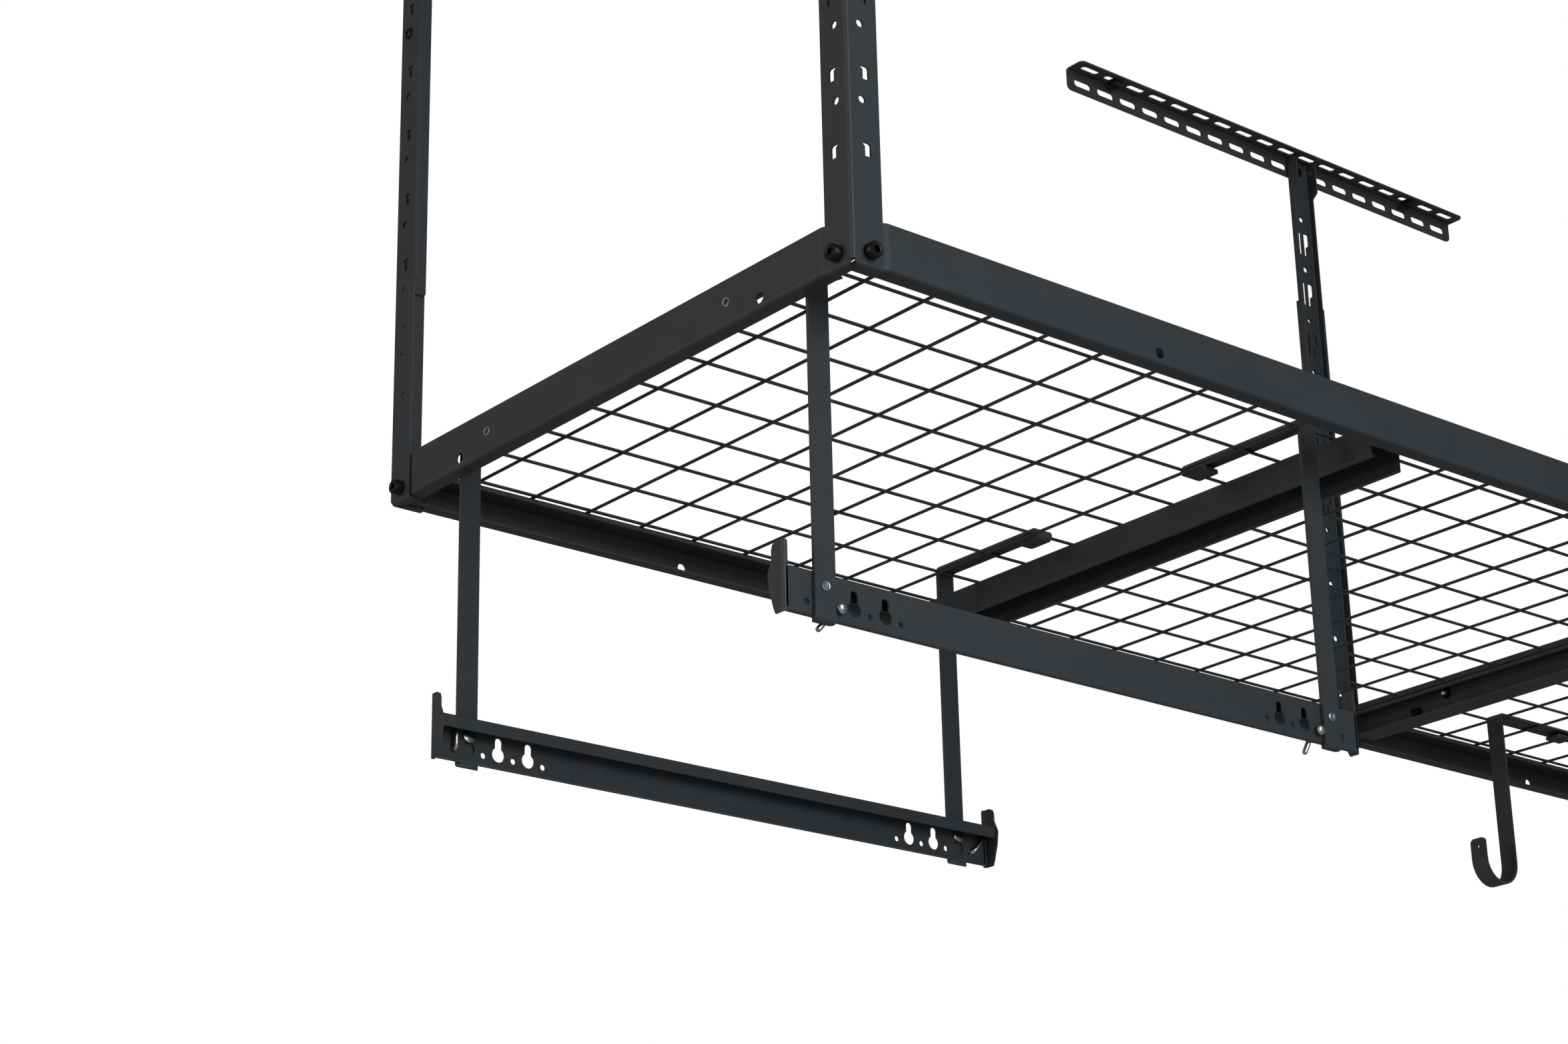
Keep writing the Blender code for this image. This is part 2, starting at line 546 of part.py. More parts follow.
def ring_tube(path, radii, sides):
    """A closed tube through points, one ring at each.

    Each ring lies across the mean of the two directions that meet at its point.
    """
    points = [Vector(p) for p in path]
    bm = bmesh.new()
    rings = []
    for n, point in enumerate(points):
        before = (point - points[max(n - 1, 0)]).normalized()
        after = (points[min(n + 1, len(points) - 1)] - point).normalized()
        tangent = (before + after).normalized()
        first = tangent.cross(Vector((0.37, 0.11, 0.92))).normalized()
        second = tangent.cross(first)
        ring = []
        for s in range(sides):
            turn = 2 * math.pi * s / sides
            offset = first * math.cos(turn) + second * math.sin(turn)
            ring.append(bm.verts.new(point + offset * radii[n]))
        rings.append(ring)
    for low, high in zip(rings, rings[1:]):
        for s in range(sides):
            t = (s + 1) % sides
            bm.faces.new((low[s], low[t], high[t], high[s]))
    bm.faces.new(list(reversed(rings[0])))
    bm.faces.new(rings[-1])
    bmesh.ops.recalc_face_normals(bm, faces=bm.faces)
    return bm


def smooth(made):
    made.data.shade_smooth()
    made.data.set_sharp_from_angle(angle=math.radians(35))
    return made


def latch_lever(name, pin_x, side, tail_degrees):
    """A domed pin through strap and rail, bent inside into a short tail.

    tail_degrees is the tail's angle from straight down, towards +X. The object's
    origin is on the pin's axis, which is the hinge.
    """
    inward = -side
    dome, high = PIN_DOME / 2, PIN_DOME_HEIGHT
    base = -GAP
    tail_y = STRAP_THICK + GAP + SHEET + TAIL_PLANE
    turn = math.radians(tail_degrees)
    tail = (math.sin(turn), -math.cos(turn))
    bend = PIN * 0.55
    path = [(0, base - high, 0), (0, base - high * 0.7, 0), (0, base - high * 0.3, 0), (0, base, 0),
            (0, base + SHOULDER, 0), (0, tail_y - bend, 0),
            (tail[0] * bend * 0.3, tail_y - bend * 0.3, tail[1] * bend * 0.3),
            (tail[0] * bend, tail_y, tail[1] * bend),
            (tail[0] * TAIL_LENGTH, tail_y, tail[1] * TAIL_LENGTH)]
    r = PIN / 2
    radii = [dome * 0.4, dome * 0.75, dome * 0.96, dome, r, r, r, r, r * 0.9]
    world = [(x, inward * y, z) for x, y, z in path]
    bm = ring_tube(world, radii, 8)
    place = (pin_x, DECK_MIDDLE_Y + side * STRAP_OUTER, RAIL_LOW + PIN_RISE)
    return smooth(add_object(name, bm, BRIGHT_STEEL, place))


def turned(name, outline, start, way, finish, sides=8):
    """A turned piece. outline holds (distance along the axis, radius) pairs.

    start is a point on the axis and way the unit direction of the axis.
    """
    path = [tuple(start[k] + way[k] * distance for k in range(3)) for distance, _ in outline]
    return smooth(add_object(name, ring_tube(path, [r for _, r in outline], sides), finish))


def strap_rivet(name, x, side):
    """The headed stud fixed in a strap; its inner head holds the rail's keyhole."""
    head, shank, inner = RIVET_HEAD / 2, RIVET_SHANK / 2, RIVET_INNER_HEAD / 2
    through = STRAP_THICK + SHEET + 3 * GAP
    high, low = RIVET_HEAD_HEIGHT, RIVET_INNER_HEAD_HEIGHT
    outline = [(-GAP - high, head * 0.8), (-GAP - high / 2, head), (-GAP, head),
               (-GAP + SHOULDER, shank), (through, shank), (through + SHOULDER, inner),
               (through + low * 0.75, inner), (through + low, inner * 0.85)]
    start = (x, DECK_MIDDLE_Y + side * STRAP_OUTER, RAIL_LOW + RIVET_RISE)
    return turned(name, outline, start, (0, -side, 0), BRIGHT_STEEL)


def cap_bolt(name, start, way):
    """A socket-head bolt: plain cylinder head outside the post, shank through it."""
    head, shank = BOLT_HEAD / 2, BOLT_SHANK / 2
    top, chamfer = -BOLT_HEAD_HEIGHT, BOLT_CHAMFER
    outline = [(top, head - chamfer), (top + chamfer, head), (-GAP, head),
               (-GAP + SHOULDER, shank), (BOLT_REACH - chamfer, shank), (BOLT_REACH, shank - chamfer)]
    return turned(name, outline, start, way, BLACK_OXIDE)


def lock_bolt(name, start, way):
    """The button-head bolt of the post's lock: head and the stretch in the outer post."""
    head, shank = LOCK_HEAD / 2, LOCK_SHANK / 2
    outline = [(-LOCK_HEAD_HEIGHT, head * 0.6), (-LOCK_HEAD_HEIGHT * 0.6, head * 0.9), (-GAP, head),
               (-GAP + SHOULDER, shank), (SHEET, shank)]
    return turned(name, outline, start, way, BLACK_OXIDE)


def wire_hook():
    """A flat J hook: a ribbon bent along a path, given its thickness by Solidify."""
    wire_x = INNER_DECK_INSET + HOOK_WIRE * WIRE_PITCH_X
    far_x = wire_x + HOOK_REACH_WIRES * WIRE_PITCH_X
    clear = WIRE / 2 + GAP + HOOK_THICK / 2
    drop_x, bend_x = wire_x - clear, far_x + clear
    arm_z = WIRE_PLANE + GAP + HOOK_THICK / 2
    back_z = WIRE_PLANE - WIRE - GAP - HOOK_THICK / 2
    centre_x = drop_x - HOOK_RADIUS
    centre_z = WIRE_PLANE - HOOK_DROP + HOOK_RADIUS + HOOK_THICK / 2
    path = [(bend_x - HOOK_RETURN, back_z), (bend_x, back_z), (bend_x, arm_z), (drop_x, arm_z)]
    steps = 12
    for n in range(steps + 1):
        turn = math.pi * n / steps
        x = centre_x + HOOK_RADIUS * math.cos(turn)
        path.append((x, centre_z - HOOK_RADIUS * math.sin(turn)))
    path.append((centre_x - HOOK_RADIUS, centre_z + HOOK_TIP))
    bm = bmesh.new()
    edges = []
    for x, z in path:
        pair = [bm.verts.new((x, HOOK_Y + s * HOOK_WIDTH / 2, z)) for s in (-1, 1)]
        edges.append(pair)
    for (a, b), (c, d) in zip(edges, edges[1:]):
        bm.faces.new((a, b, d, c))
    made = add_object("wire_hook", bm, BLACK_COAT)
    solid = made.modifiers.new("thickness", "SOLIDIFY")
    solid.thickness = HOOK_THICK
    solid.offset = 0.0
    solid.use_even_offset = True
    return made


# ---- assembly -----------------------------------------------------------------------
SIDES = (("near", -1), ("far", 1))
ENDS = (("left", -1), ("right", 1))


def build_ceiling_frame():
    reach = HALF_LENGTH + CORNER_BRACKET_OVERHANG - BRACKET_LENGTH / 2
    for side_name, side in SIDES:
        ceiling_bracket(f"bracket_{side_name}_middle", MIDDLE_BRACKET_SHIFT, side)
        middle_post(f"upper_post_{side_name}_middle", side, True)
        for end_name, end in ENDS:
            ceiling_bracket(f"bracket_{side_name}_{end_name}", end * reach, side)
            corner_post(f"upper_post_{side_name}_{end_name}", end, side, True)


def build_deck_frame():
    for side_name, side in SIDES:
        middle_post(f"lower_post_{side_name}_middle", side, False)
        for end_name, end in ENDS:
            corner_post(f"lower_post_{side_name}_{end_name}", end, side, False)
            long_beam(f"long_beam_{side_name}_{end_name}", side, end)
            x, y = end * HALF_LENGTH, side * HALF_DEPTH
            at_x = x - end * BOLT_FROM_CORNER
            at_y = y - side * BOLT_FROM_CORNER
            where = f"{side_name}_{end_name}"
            cap_bolt(f"beam_bolt_{where}", (at_x, y, BOLT_Z), (0, -side, 0))
            cap_bolt(f"end_bolt_{where}", (x, at_y, BOLT_Z), (-end, 0, 0))
            lock_y = y - side * POST_HOLE_OFFSET
            lock_bolt(f"lock_bolt_{where}", (x, lock_y, LOCK_Z), (-end, 0, 0))
    for end_name, end in ENDS:
        cross_beam(f"end_beam_{end_name}", end * HALF_LENGTH, -end, True)
        cross_beam(f"middle_beam_{end_name}", end * SEAM, end, False)
        start = -HALF_LENGTH if end < 0 else 0.0
        deck_support(f"deck_support_{end_name}", start)
        middle = start + MODULE / 2
        outer = end * (HALF_LENGTH - OUTER_DECK_INSET)
        inner = end * INNER_DECK_INSET
        wire_deck(f"wire_deck_{end_name}_outer", outer, -end, middle + end * GAP)
        wire_deck(f"wire_deck_{end_name}_inner", inner, end, middle - end * GAP)


def build_hangers():
    """Two rails on four straps; tail angles are as the levers were left."""
    tails = {("near", "left"): -42, ("near", "right"): -30,
             ("far", "left"): 180, ("far", "right"): 138}
    for side_name, side in SIDES:
        hanging_rail(f"rail_{side_name}", side)
        for end_name, end in ENDS:
            where = f"{side_name}_{end_name}"
            x = RAIL_CENTRE_X + end * STRAP_SPAN / 2
            pin_way = end * side
            hanger_strap(f"strap_{where}", x, side, pin_way)
            strap_rivet(f"strap_rivet_{where}", x, side)
            pin_x = x + pin_way * KEYHOLE_STEP
            latch_lever(f"latch_lever_{where}", pin_x, side, tails[side_name, end_name])


clear_scene()
build_ceiling_frame()
build_deck_frame()
build_hangers()
wire_hook()
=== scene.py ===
"""Looks of a ceiling-hung storage rack: powder-coated pressed steel, wire decks and hardware.

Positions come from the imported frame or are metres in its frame: origin at the centre of
the ceiling plane, +X along the rack, +Y across it, +Z up. Near is -Y, left is -X.
"""
import math

import bpy
import numpy as np
from mathutils import Matrix, Vector, geometry


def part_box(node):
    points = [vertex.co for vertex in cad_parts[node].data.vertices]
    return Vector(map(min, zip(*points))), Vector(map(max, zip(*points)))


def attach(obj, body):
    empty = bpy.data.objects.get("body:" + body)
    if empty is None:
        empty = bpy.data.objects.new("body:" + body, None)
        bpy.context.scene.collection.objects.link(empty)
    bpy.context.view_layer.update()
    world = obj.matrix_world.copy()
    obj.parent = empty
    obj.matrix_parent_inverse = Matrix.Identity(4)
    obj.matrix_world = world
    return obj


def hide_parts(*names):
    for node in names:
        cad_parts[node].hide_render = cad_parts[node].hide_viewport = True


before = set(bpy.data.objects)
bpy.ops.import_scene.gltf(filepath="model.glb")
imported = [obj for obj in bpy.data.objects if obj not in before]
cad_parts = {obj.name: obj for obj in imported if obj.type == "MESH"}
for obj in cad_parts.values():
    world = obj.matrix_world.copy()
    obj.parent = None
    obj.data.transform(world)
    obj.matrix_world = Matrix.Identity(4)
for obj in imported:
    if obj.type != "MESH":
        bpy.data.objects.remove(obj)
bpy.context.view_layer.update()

# ---- Ceiling brackets -------------------------------------------------------------------
# Six slotted angles, 2 mm steel, one leg flat on the ceiling and the other turned down
# behind a post. Pressed and punched from strip, bent once, then powder coated; two lag
# bolts through the slots hold each to the joists.


def rounded_profile(points, radii, steps=6):
    """Samples of a polyline whose inner corners are arcs tangent to both legs.

    At a corner of turn angle a and radius r the arc starts r * tan(a / 2) before the
    corner and ends as far after it. Returns (places, unit left normals, bend mask,
    curve length at each place, and for each leg the curve length of its first corner).
    """
    points = np.asarray(points, float)
    legs = np.diff(points, axis=0)
    lengths = np.linalg.norm(legs, axis=1)
    ways = legs / lengths[:, None]
    left = np.stack([-ways[:, 1], ways[:, 0]], axis=1)
    places, normals, bends, starts, setback = [points[0]], [left[0]], [0.0], [0], [0.0]
    for k, radius in enumerate(radii):
        turn = math.atan2(ways[k][0] * ways[k + 1][1] - ways[k][1] * ways[k + 1][0],
                          float(ways[k] @ ways[k + 1]))
        reach = radius * math.tan(abs(turn) / 2)
        first = points[k + 1] - reach * ways[k]
        side = math.copysign(1.0, turn)
        centre = first + side * radius * left[k]
        count = max(2, int(round(steps * abs(turn) / (math.pi / 2))))
        for n in range(count + 1):
            angle = turn * n / count
            c, s = math.cos(angle), math.sin(angle)
            normal = np.array([c * left[k][0] - s * left[k][1], s * left[k][0] + c * left[k][1]])
            places.append(centre - side * radius * normal)
            normals.append(normal)
            bends.append(0.0 if n in (0, count) else 1.0)
        starts.append(len(places) - 1)
        setback.append(reach)
    places.append(points[-1])
    normals.append(left[-1])
    bends.append(0.0)
    places = np.array(places)
    along = np.concatenate([[0.0], np.cumsum(np.linalg.norm(np.diff(places, axis=0), axis=1))])
    corners = [along[s] - back for s, back in zip(starts, setback)]
    return places, np.array(normals), np.array(bends), along, corners


def inside_polygon(points, polygon):
    """Even-odd rule: how many polygon edges cross the ray from each point towards +x."""
    x, y = points[:, :1], points[:, 1:]
    a, b = polygon, np.roll(polygon, -1, axis=0)
    spans = (a[:, 1] > y) != (b[:, 1] > y)
    rise = np.where(b[:, 1] == a[:, 1], 1.0, b[:, 1] - a[:, 1])
    cross = a[:, 0] + (y - a[:, 1]) * (b[:, 0] - a[:, 0]) / rise
    return (spans & (x < cross)).sum(axis=1) % 2 == 1


def mesh_object(name, points, faces, materials, slots=None, normals=None, attributes=None):
    """An object at the origin from arrays; normals holds one vector per face corner."""
    mesh = bpy.data.meshes.new(name)
    mesh.from_pydata(np.asarray(points).tolist(), [], [list(map(int, f)) for f in faces])
    mesh.update(calc_edges=True)
    for made in materials:
        mesh.materials.append(made)
    if slots is not None:
        mesh.polygons.foreach_set("material_index", np.asarray(slots, np.int32))
    for key, values in (attributes or {}).items():
        layer = mesh.attributes.new(key, "FLOAT", "POINT")
        layer.data.foreach_set("value", np.asarray(values, np.float32))
    mesh.shade_smooth()
    mesh.set_sharp_from_angle(angle=math.radians(38))
    if normals is not None:
        mesh.normals_split_custom_set([tuple(n) for n in normals])
    made = bpy.data.objects.new(name, mesh)
    bpy.context.scene.collection.objects.link(made)
    return made


def pressed_sheet(profile, radii, thick, span, cuts, place, joggle=None):
    """A sheet of one thickness folded along straight lines, with shapes cut out of it.

    The flat blank is a rectangle, span long and as wide as the rounded profile. It is
    triangulated with the fold lines and cut shapes as edges. A blank point (s, w) goes to
    origin + s e_s + (d(w) + j(s) f(d)) e_d + h(w) e_h, where (d, h) is the profile, j is
    the joggle's depth and f fades it out with depth; the two faces lie half the thickness
    either side along the normal, and quads close the cut edges. Each cut is (leg, [(s, t)])
    with t measured along that leg from its first sharp corner. Returns the arrays
    (points, faces, face slots, corner normals, bend mask).
    """
    places, normals, bends, along, corners = rounded_profile(profile, radii)
    origin, e_s, e_d, e_h = (np.asarray(v, float) for v in place)
    width = along[-1]
    scale = 1000.0
    verts, edges = [], []

    def line(chain, closed):
        base = len(verts)
        verts.extend(chain)
        count = len(chain)
        last = count if closed else count - 1
        edges.extend((base + n, base + (n + 1) % count) for n in range(last))

    line([(span[0], 0), (span[1], 0), (span[1], width), (span[0], width)], True)
    for w in along[1:-1]:
        line([(span[0], w), (span[1], w)], False)
    knots, depths, fade = joggle if joggle else ((), (), 1.0)
    for s in knots:
        if span[0] < s < span[1]:
            line([(s, 0), (s, width)], False)
    polygons = []
    for leg, shape in cuts:
        polygon = np.array(shape, float)
        polygon[:, 1] += corners[leg]
        polygons.append(polygon)
        line([tuple(p) for p in polygon], True)
    flat = [Vector((s * scale, w * scale)) for s, w in verts]
    got, _, triangles, _, _, _ = geometry.delaunay_2d_cdt(flat, edges, [], 0, 1e-4)
    blank = np.array([tuple(v) for v in got]) / scale
    triangles = np.array([t for t in triangles if len(t) == 3])
    middle = blank[triangles].mean(axis=1)
    keep = (middle[:, 0] > span[0]) & (middle[:, 0] < span[1])
    keep &= (middle[:, 1] > 0) & (middle[:, 1] < width)
    for polygon in polygons:
        keep &= ~inside_polygon(middle, polygon)
    a, b, c = (blank[triangles[:, n]] for n in range(3))
    area = (b[:, 0] - a[:, 0]) * (c[:, 1] - a[:, 1]) - (b[:, 1] - a[:, 1]) * (c[:, 0] - a[:, 0])
    triangles = np.where((area < 0)[:, None], triangles[:, ::-1], triangles)[keep & (abs(area) > 1e-12)]
    used, triangles = np.unique(triangles, return_inverse=True)
    triangles = triangles.reshape(-1, 3)
    s, w = blank[used].T

    d, h = np.interp(w, along, places[:, 0]), np.interp(w, along, places[:, 1])
    nd, nh = np.interp(w, along, normals[:, 0]), np.interp(w, along, normals[:, 1])
    slope = 0.0
    if len(knots):
        share = np.clip(1 - d / fade, 0, 1)
        slope = np.interp(s, knots, np.gradient(depths, knots)) * share * nd
        d = d + np.interp(s, knots, depths) * share
    mid = origin + s[:, None] * e_s + d[:, None] * e_d + h[:, None] * e_h
    normal = nd[:, None] * e_d + nh[:, None] * e_h
    lift = normal * thick / 2 / np.linalg.norm(normal, axis=1)[:, None]
    normal = normal - np.multiply(slope, np.ones_like(s))[:, None] * e_s
    normal /= np.linalg.norm(normal, axis=1)[:, None]
    count = len(s)
    handed = np.dot(np.cross(e_s, e_d), e_h) > 0
    upper = triangles if handed else triangles[:, ::-1]
    points = np.concatenate([mid + lift, mid - lift])
    lower = upper[:, ::-1] + count
    pairs = np.concatenate([upper[:, [0, 1]], upper[:, [1, 2]], upper[:, [2, 0]]])
    known = set(map(tuple, pairs.tolist()))
    rim = np.array([(i, j) for i, j in pairs.tolist() if (j, i) not in known])
    quads = np.stack([rim[:, 1], rim[:, 0], rim[:, 0] + count, rim[:, 1] + count], axis=1)
    faces = upper.tolist() + lower.tolist() + quads.tolist()
    slots = [0] * (2 * len(upper)) + [1] * len(quads)
    corner_normals = np.concatenate([normal[upper].reshape(-1, 3), -normal[lower - count].reshape(-1, 3),
                                     np.zeros((4 * len(quads), 3))])
    mask = np.interp(w, along, bends)
    return points, faces, slots, corner_normals, np.concatenate([mask, mask])


def joined(parts):
    """Several pressed sheets as one set of arrays."""
    points, bends, base = [], [], 0
    tri_normals, quad_normals, tri_faces, quad_faces, tri_slots, quad_slots = [], [], [], [], [], []
    for p, f, s, n, b in parts:
        first_quad = next(k for k, face in enumerate(f) if len(face) == 4)
        shifted = [[v + base for v in face] for face in f]
        tri_faces += shifted[:first_quad]
        quad_faces += shifted[first_quad:]
        tri_slots += s[:first_quad]
        quad_slots += s[first_quad:]
        tri_normals.append(n[:3 * first_quad])
        quad_normals.append(n[3 * first_quad:])
        points.append(p)
        bends.append(b)
        base += len(p)
    return (np.concatenate(points), tri_faces + quad_faces, tri_slots + quad_slots,
            np.concatenate(tri_normals + quad_normals), np.concatenate(bends))


def sheet_object(name, parts, node, body, finish=None):
    """Pressed sheets as one object that stands for a CAD node and moves with its body."""
    points, faces, slots, normals, bends = joined(parts)
    made = mesh_object(name, points, faces, finish or [coat, cut_edge_wear_and_highlight], slots, normals, {"bend": bends})
    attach(made, body)
    if node:
        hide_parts(node)
    return made


def ring(x, y, radius, sides=20):
    """A circle of points."""
    turn = np.arange(sides) * 2 * math.pi / sides
    return np.stack([x + radius * np.cos(turn), y + radius * np.sin(turn)], axis=1)


def obround(x, y, length, width, sides=16):
    """A slot with round ends, length along x."""
    turn = (np.arange(sides) + 0.5) * 2 * math.pi / sides
    offset = np.where(np.cos(turn) > 0, 1, -1) * (length - width) / 2
    return np.stack([x + offset + width / 2 * np.cos(turn), y + width / 2 * np.sin(turn)], axis=1)


def corner_trim(s, t, way_s, way_t, radius, steps=6):
    """The waste outside a rounded corner at (s, t); the sheet lies towards -way."""
    turn = np.arange(steps + 1) / steps * math.pi / 2
    arc = np.stack([s - way_s * radius * (1 - np.cos(turn)), t - way_t * radius * (1 - np.sin(turn))], axis=1)
    beyond = 0.002
    outer = [(s - way_s * radius, t + way_t * beyond), (s + way_s * beyond, t + way_t * beyond),
             (s + way_s * beyond, t - way_t * radius)]
    return np.concatenate([arc, outer])


def material(name):
    """A new node material: returns it, its node tree and its Principled shader."""
    made = bpy.data.materials.new(name)
    made.use_nodes = True
    tree = made.node_tree
    return made, tree, tree.nodes["Principled BSDF"]


def node(tree, kind, **values):
    """A node with its properties and socket constants set."""
    made = tree.nodes.new(kind)
    for key, value in values.items():
        if hasattr(made, key):
            setattr(made, key, value)
        else:
            made.inputs[key.replace("_", " ")].default_value = value
    return made


def math_node(tree, operation, first, second=None, third=None):
    """A math node whose operands are sockets or numbers."""
    made = tree.nodes.new("ShaderNodeMath")
    made.operation = operation
    for socket, value in zip(made.inputs, (first, second, third)):
        if isinstance(value, bpy.types.NodeSocket):
            tree.links.new(value, socket)
        elif value is not None:
            socket.default_value = value
    return made.outputs[0]


def mix_colour(tree, share, first, second):
    """A mix of two colours, each a socket or an RGBA value."""
    made = tree.nodes.new("ShaderNodeMix")
    made.data_type = "RGBA"
    for socket, value in zip((made.inputs[0], made.inputs[6], made.inputs[7]), (share, first, second)):
        if isinstance(value, bpy.types.NodeSocket):
            tree.links.new(value, socket)
        else:
            socket.default_value = value
    return made.outputs[2]


def powder_group():
    """Fine-textured powder coat: grain height, a mottle, scuffs and dust as outputs.

    Grain is noise with cells of about 0.7 mm plus a finer octave; the mottle is noise
    some 40 mm across; scuffs are thin stretched noise above a high threshold.
    """
    group = bpy.data.node_groups.new("powder_coat", "ShaderNodeTree")
    for name in ("Grain", "Mottle", "Scuff", "Speck"):
        group.interface.new_socket(name, in_out="OUTPUT", socket_type="NodeSocketFloat")
    out = group.nodes.new("NodeGroupOutput")
    where = group.nodes.new("ShaderNodeTexCoord").outputs["Object"]

    def noise(scale, detail, rough, vector=where):
        made = node(group, "ShaderNodeTexNoise", Scale=scale, Detail=detail, Roughness=rough)
        group.links.new(vector, made.inputs["Vector"])
        return made.outputs["Fac"]

    coarse = noise(900.0, 2.0, 0.6)
    fine = noise(2600.0, 2.0, 0.6)
    grain = math_node(group, "ADD", math_node(group, "MULTIPLY", coarse, 0.7),
                      math_node(group, "MULTIPLY", fine, 0.3))
    group.links.new(grain, out.inputs["Grain"])
    group.links.new(noise(24.0, 4.0, 0.6), out.inputs["Mottle"])
    stretch = node(group, "ShaderNodeMapping", vector_type="POINT")
    stretch.inputs["Scale"].default_value = (9.0, 70.0, 160.0)
    stretch.inputs["Rotation"].default_value = (0.3, 0.5, 0.2)
    group.links.new(where, stretch.inputs["Vector"])
    scuff = math_node(group, "SUBTRACT", noise(1.0, 6.0, 0.7, stretch.outputs[0]), 0.70)
    scuff = math_node(group, "MULTIPLY", scuff, 14.0)
    scuff.node.use_clamp = True
    group.links.new(scuff, out.inputs["Scuff"])
    speck = math_node(group, "SUBTRACT", noise(340.0, 1.0, 0.5), 0.74)
    speck = math_node(group, "MULTIPLY", speck, 25.0)
    speck.node.use_clamp = True
    group.links.new(speck, out.inputs["Speck"])
    return group


def coat_material(name, dark, light, rough, bend_highlight_and_wear, grain_height=0.00016):
    """Powder coat over steel: mottled charcoal, grained bump, paler where it bends as a painted highlight
    along the folds, partly wear.
    """
    made, tree, shader = material(name)
    group = node(tree, "ShaderNodeGroup", node_tree=powder)
    bend = node(tree, "ShaderNodeAttribute", attribute_name="bend").outputs["Fac"]
    tone = math_node(tree, "MULTIPLY_ADD", group.outputs["Mottle"], 0.9, -0.10)
    tone = math_node(tree, "MULTIPLY_ADD", group.outputs["Grain"], 0.55, tone)
    tone = math_node(tree, "SUBTRACT", tone, 0.22)
    tone.node.use_clamp = True
    colour = mix_colour(tree, tone, dark, light)
    pale = tuple(1.7 * c + 0.004 for c in light[:3]) + (1.0,)
    amount = math_node(tree, "MULTIPLY", group.outputs["Scuff"], 0.35)
    # The bend mask mixes the coat towards pale: a painted highlight along the folds, partly wear; scuffs and
    # specks are real marks.
    amount = math_node(tree, "MULTIPLY_ADD", bend, bend_highlight_and_wear, amount)
    amount = math_node(tree, "MULTIPLY_ADD", group.outputs["Speck"], 0.35, amount)
    amount.node.use_clamp = True
    colour = mix_colour(tree, amount, colour, pale)
    tree.links.new(colour, shader.inputs["Base Color"])
    gloss = math_node(tree, "MULTIPLY_ADD", group.outputs["Mottle"], 0.16, rough - 0.08)
    gloss = math_node(tree, "MULTIPLY_ADD", bend, -0.08, gloss)
    tree.links.new(gloss, shader.inputs["Roughness"])
    bump = node(tree, "ShaderNodeBump", Strength=0.8, Distance=grain_height)
    tree.links.new(group.outputs["Grain"], bump.inputs["Height"])
    tree.links.new(bump.outputs[0], shader.inputs["Normal"])
    shader.inputs["Specular IOR Level"].default_value = 0.42
    return made


powder = powder_group()
coat = coat_material("black_powder_coat", (0.021, 0.0245, 0.0275, 1), (0.040, 0.0445, 0.048, 1), 0.56, 0.22)
# The cut-edge coat is paler and glossier than the faces: a painted highlight along the sheet edges, partly
# edge wear.
cut_edge_wear_and_highlight = coat_material("cut_edge_coat_wear_and_highlight", (0.030, 0.033, 0.036, 1), (0.060, 0.062, 0.064, 1), 0.46, 0.0)
warm_coat = coat_material("bracket_powder_coat", (0.030, 0.029, 0.027, 1), (0.052, 0.049, 0.045, 1), 0.50,
                          0.25)


def lathe(outline, start, way, sides=32, hexed=()):
    """A turned piece: each (distance, radius) of the outline becomes a ring of points.

    Rings listed in hexed take the radius r cos(30) / cos((a mod 60) - 30) at angle a,
    which is a hexagon with corner radius r. Returns (points, faces).
    """
    way = Vector(way).normalized()
    side = way.orthogonal().normalized()
    other = way.cross(side)
    turn = np.arange(sides) * 2 * math.pi / sides
    hexagon = math.cos(math.pi / 6) / np.cos(np.mod(turn, math.pi / 3) - math.pi / 6)
    points = []
    for n, (distance, radius) in enumerate(outline):
        r = radius * (hexagon if n in hexed else np.ones(sides))
        points.append(np.array(start) + distance * np.array(way)
                      + (r * np.cos(turn))[:, None] * np.array(side)
                      + (r * np.sin(turn))[:, None] * np.array(other))
    count = len(outline)
    k, j = np.meshgrid(np.arange(count - 1), np.arange(sides), indexing="ij")
    k, j = k.ravel(), j.ravel()
    after = (j + 1) % sides
    quads = np.stack([k * sides + j, k * sides + after, (k + 1) * sides + after, (k + 1) * sides + j], axis=1)
    faces = quads.tolist() + [list(range(sides))[::-1], [(count - 1) * sides + n for n in range(sides)]]
    return np.concatenate(points), faces


def gathered(pieces):
    """Several (points, faces) pairs as one."""
    points, faces, base = [], [], 0
    for p, f in pieces:
        points.append(p)
        faces += [[v + base for v in face] for face in f]
        base += len(p)
    return np.concatenate(points), faces


def metal_material(name, colour, metallic, rough, spread, grain=2400.0):
    """Bare or oxide-blacked metal: fine turned scratches, uneven roughness and tone."""
    made, tree, shader = material(name)
    where = node(tree, "ShaderNodeTexCoord").outputs["Object"]
    fine = node(tree, "ShaderNodeTexNoise", Scale=grain, Detail=3.0, Roughness=0.6)
    broad = node(tree, "ShaderNodeTexNoise", Scale=320.0, Detail=4.0, Roughness=0.65)
    tree.links.new(where, fine.inputs["Vector"])
    tree.links.new(where, broad.inputs["Vector"])
    darker = tuple(0.55 * c for c in colour[:3]) + (1.0,)
    tone = math_node(tree, "MULTIPLY_ADD", broad.outputs["Fac"], 2.2, -0.6)
    tone.node.use_clamp = True
    tree.links.new(mix_colour(tree, tone, darker, colour), shader.inputs["Base Color"])
    gloss = math_node(tree, "MULTIPLY_ADD", broad.outputs["Fac"], spread, rough - spread / 2)
    tree.links.new(gloss, shader.inputs["Roughness"])
    bump = node(tree, "ShaderNodeBump", Strength=0.35, Distance=0.00004)
    tree.links.new(fine.outputs["Fac"], bump.inputs["Height"])
    tree.links.new(bump.outputs[0], shader.inputs["Normal"])
    shader.inputs["Metallic"].default_value = metallic
    return made


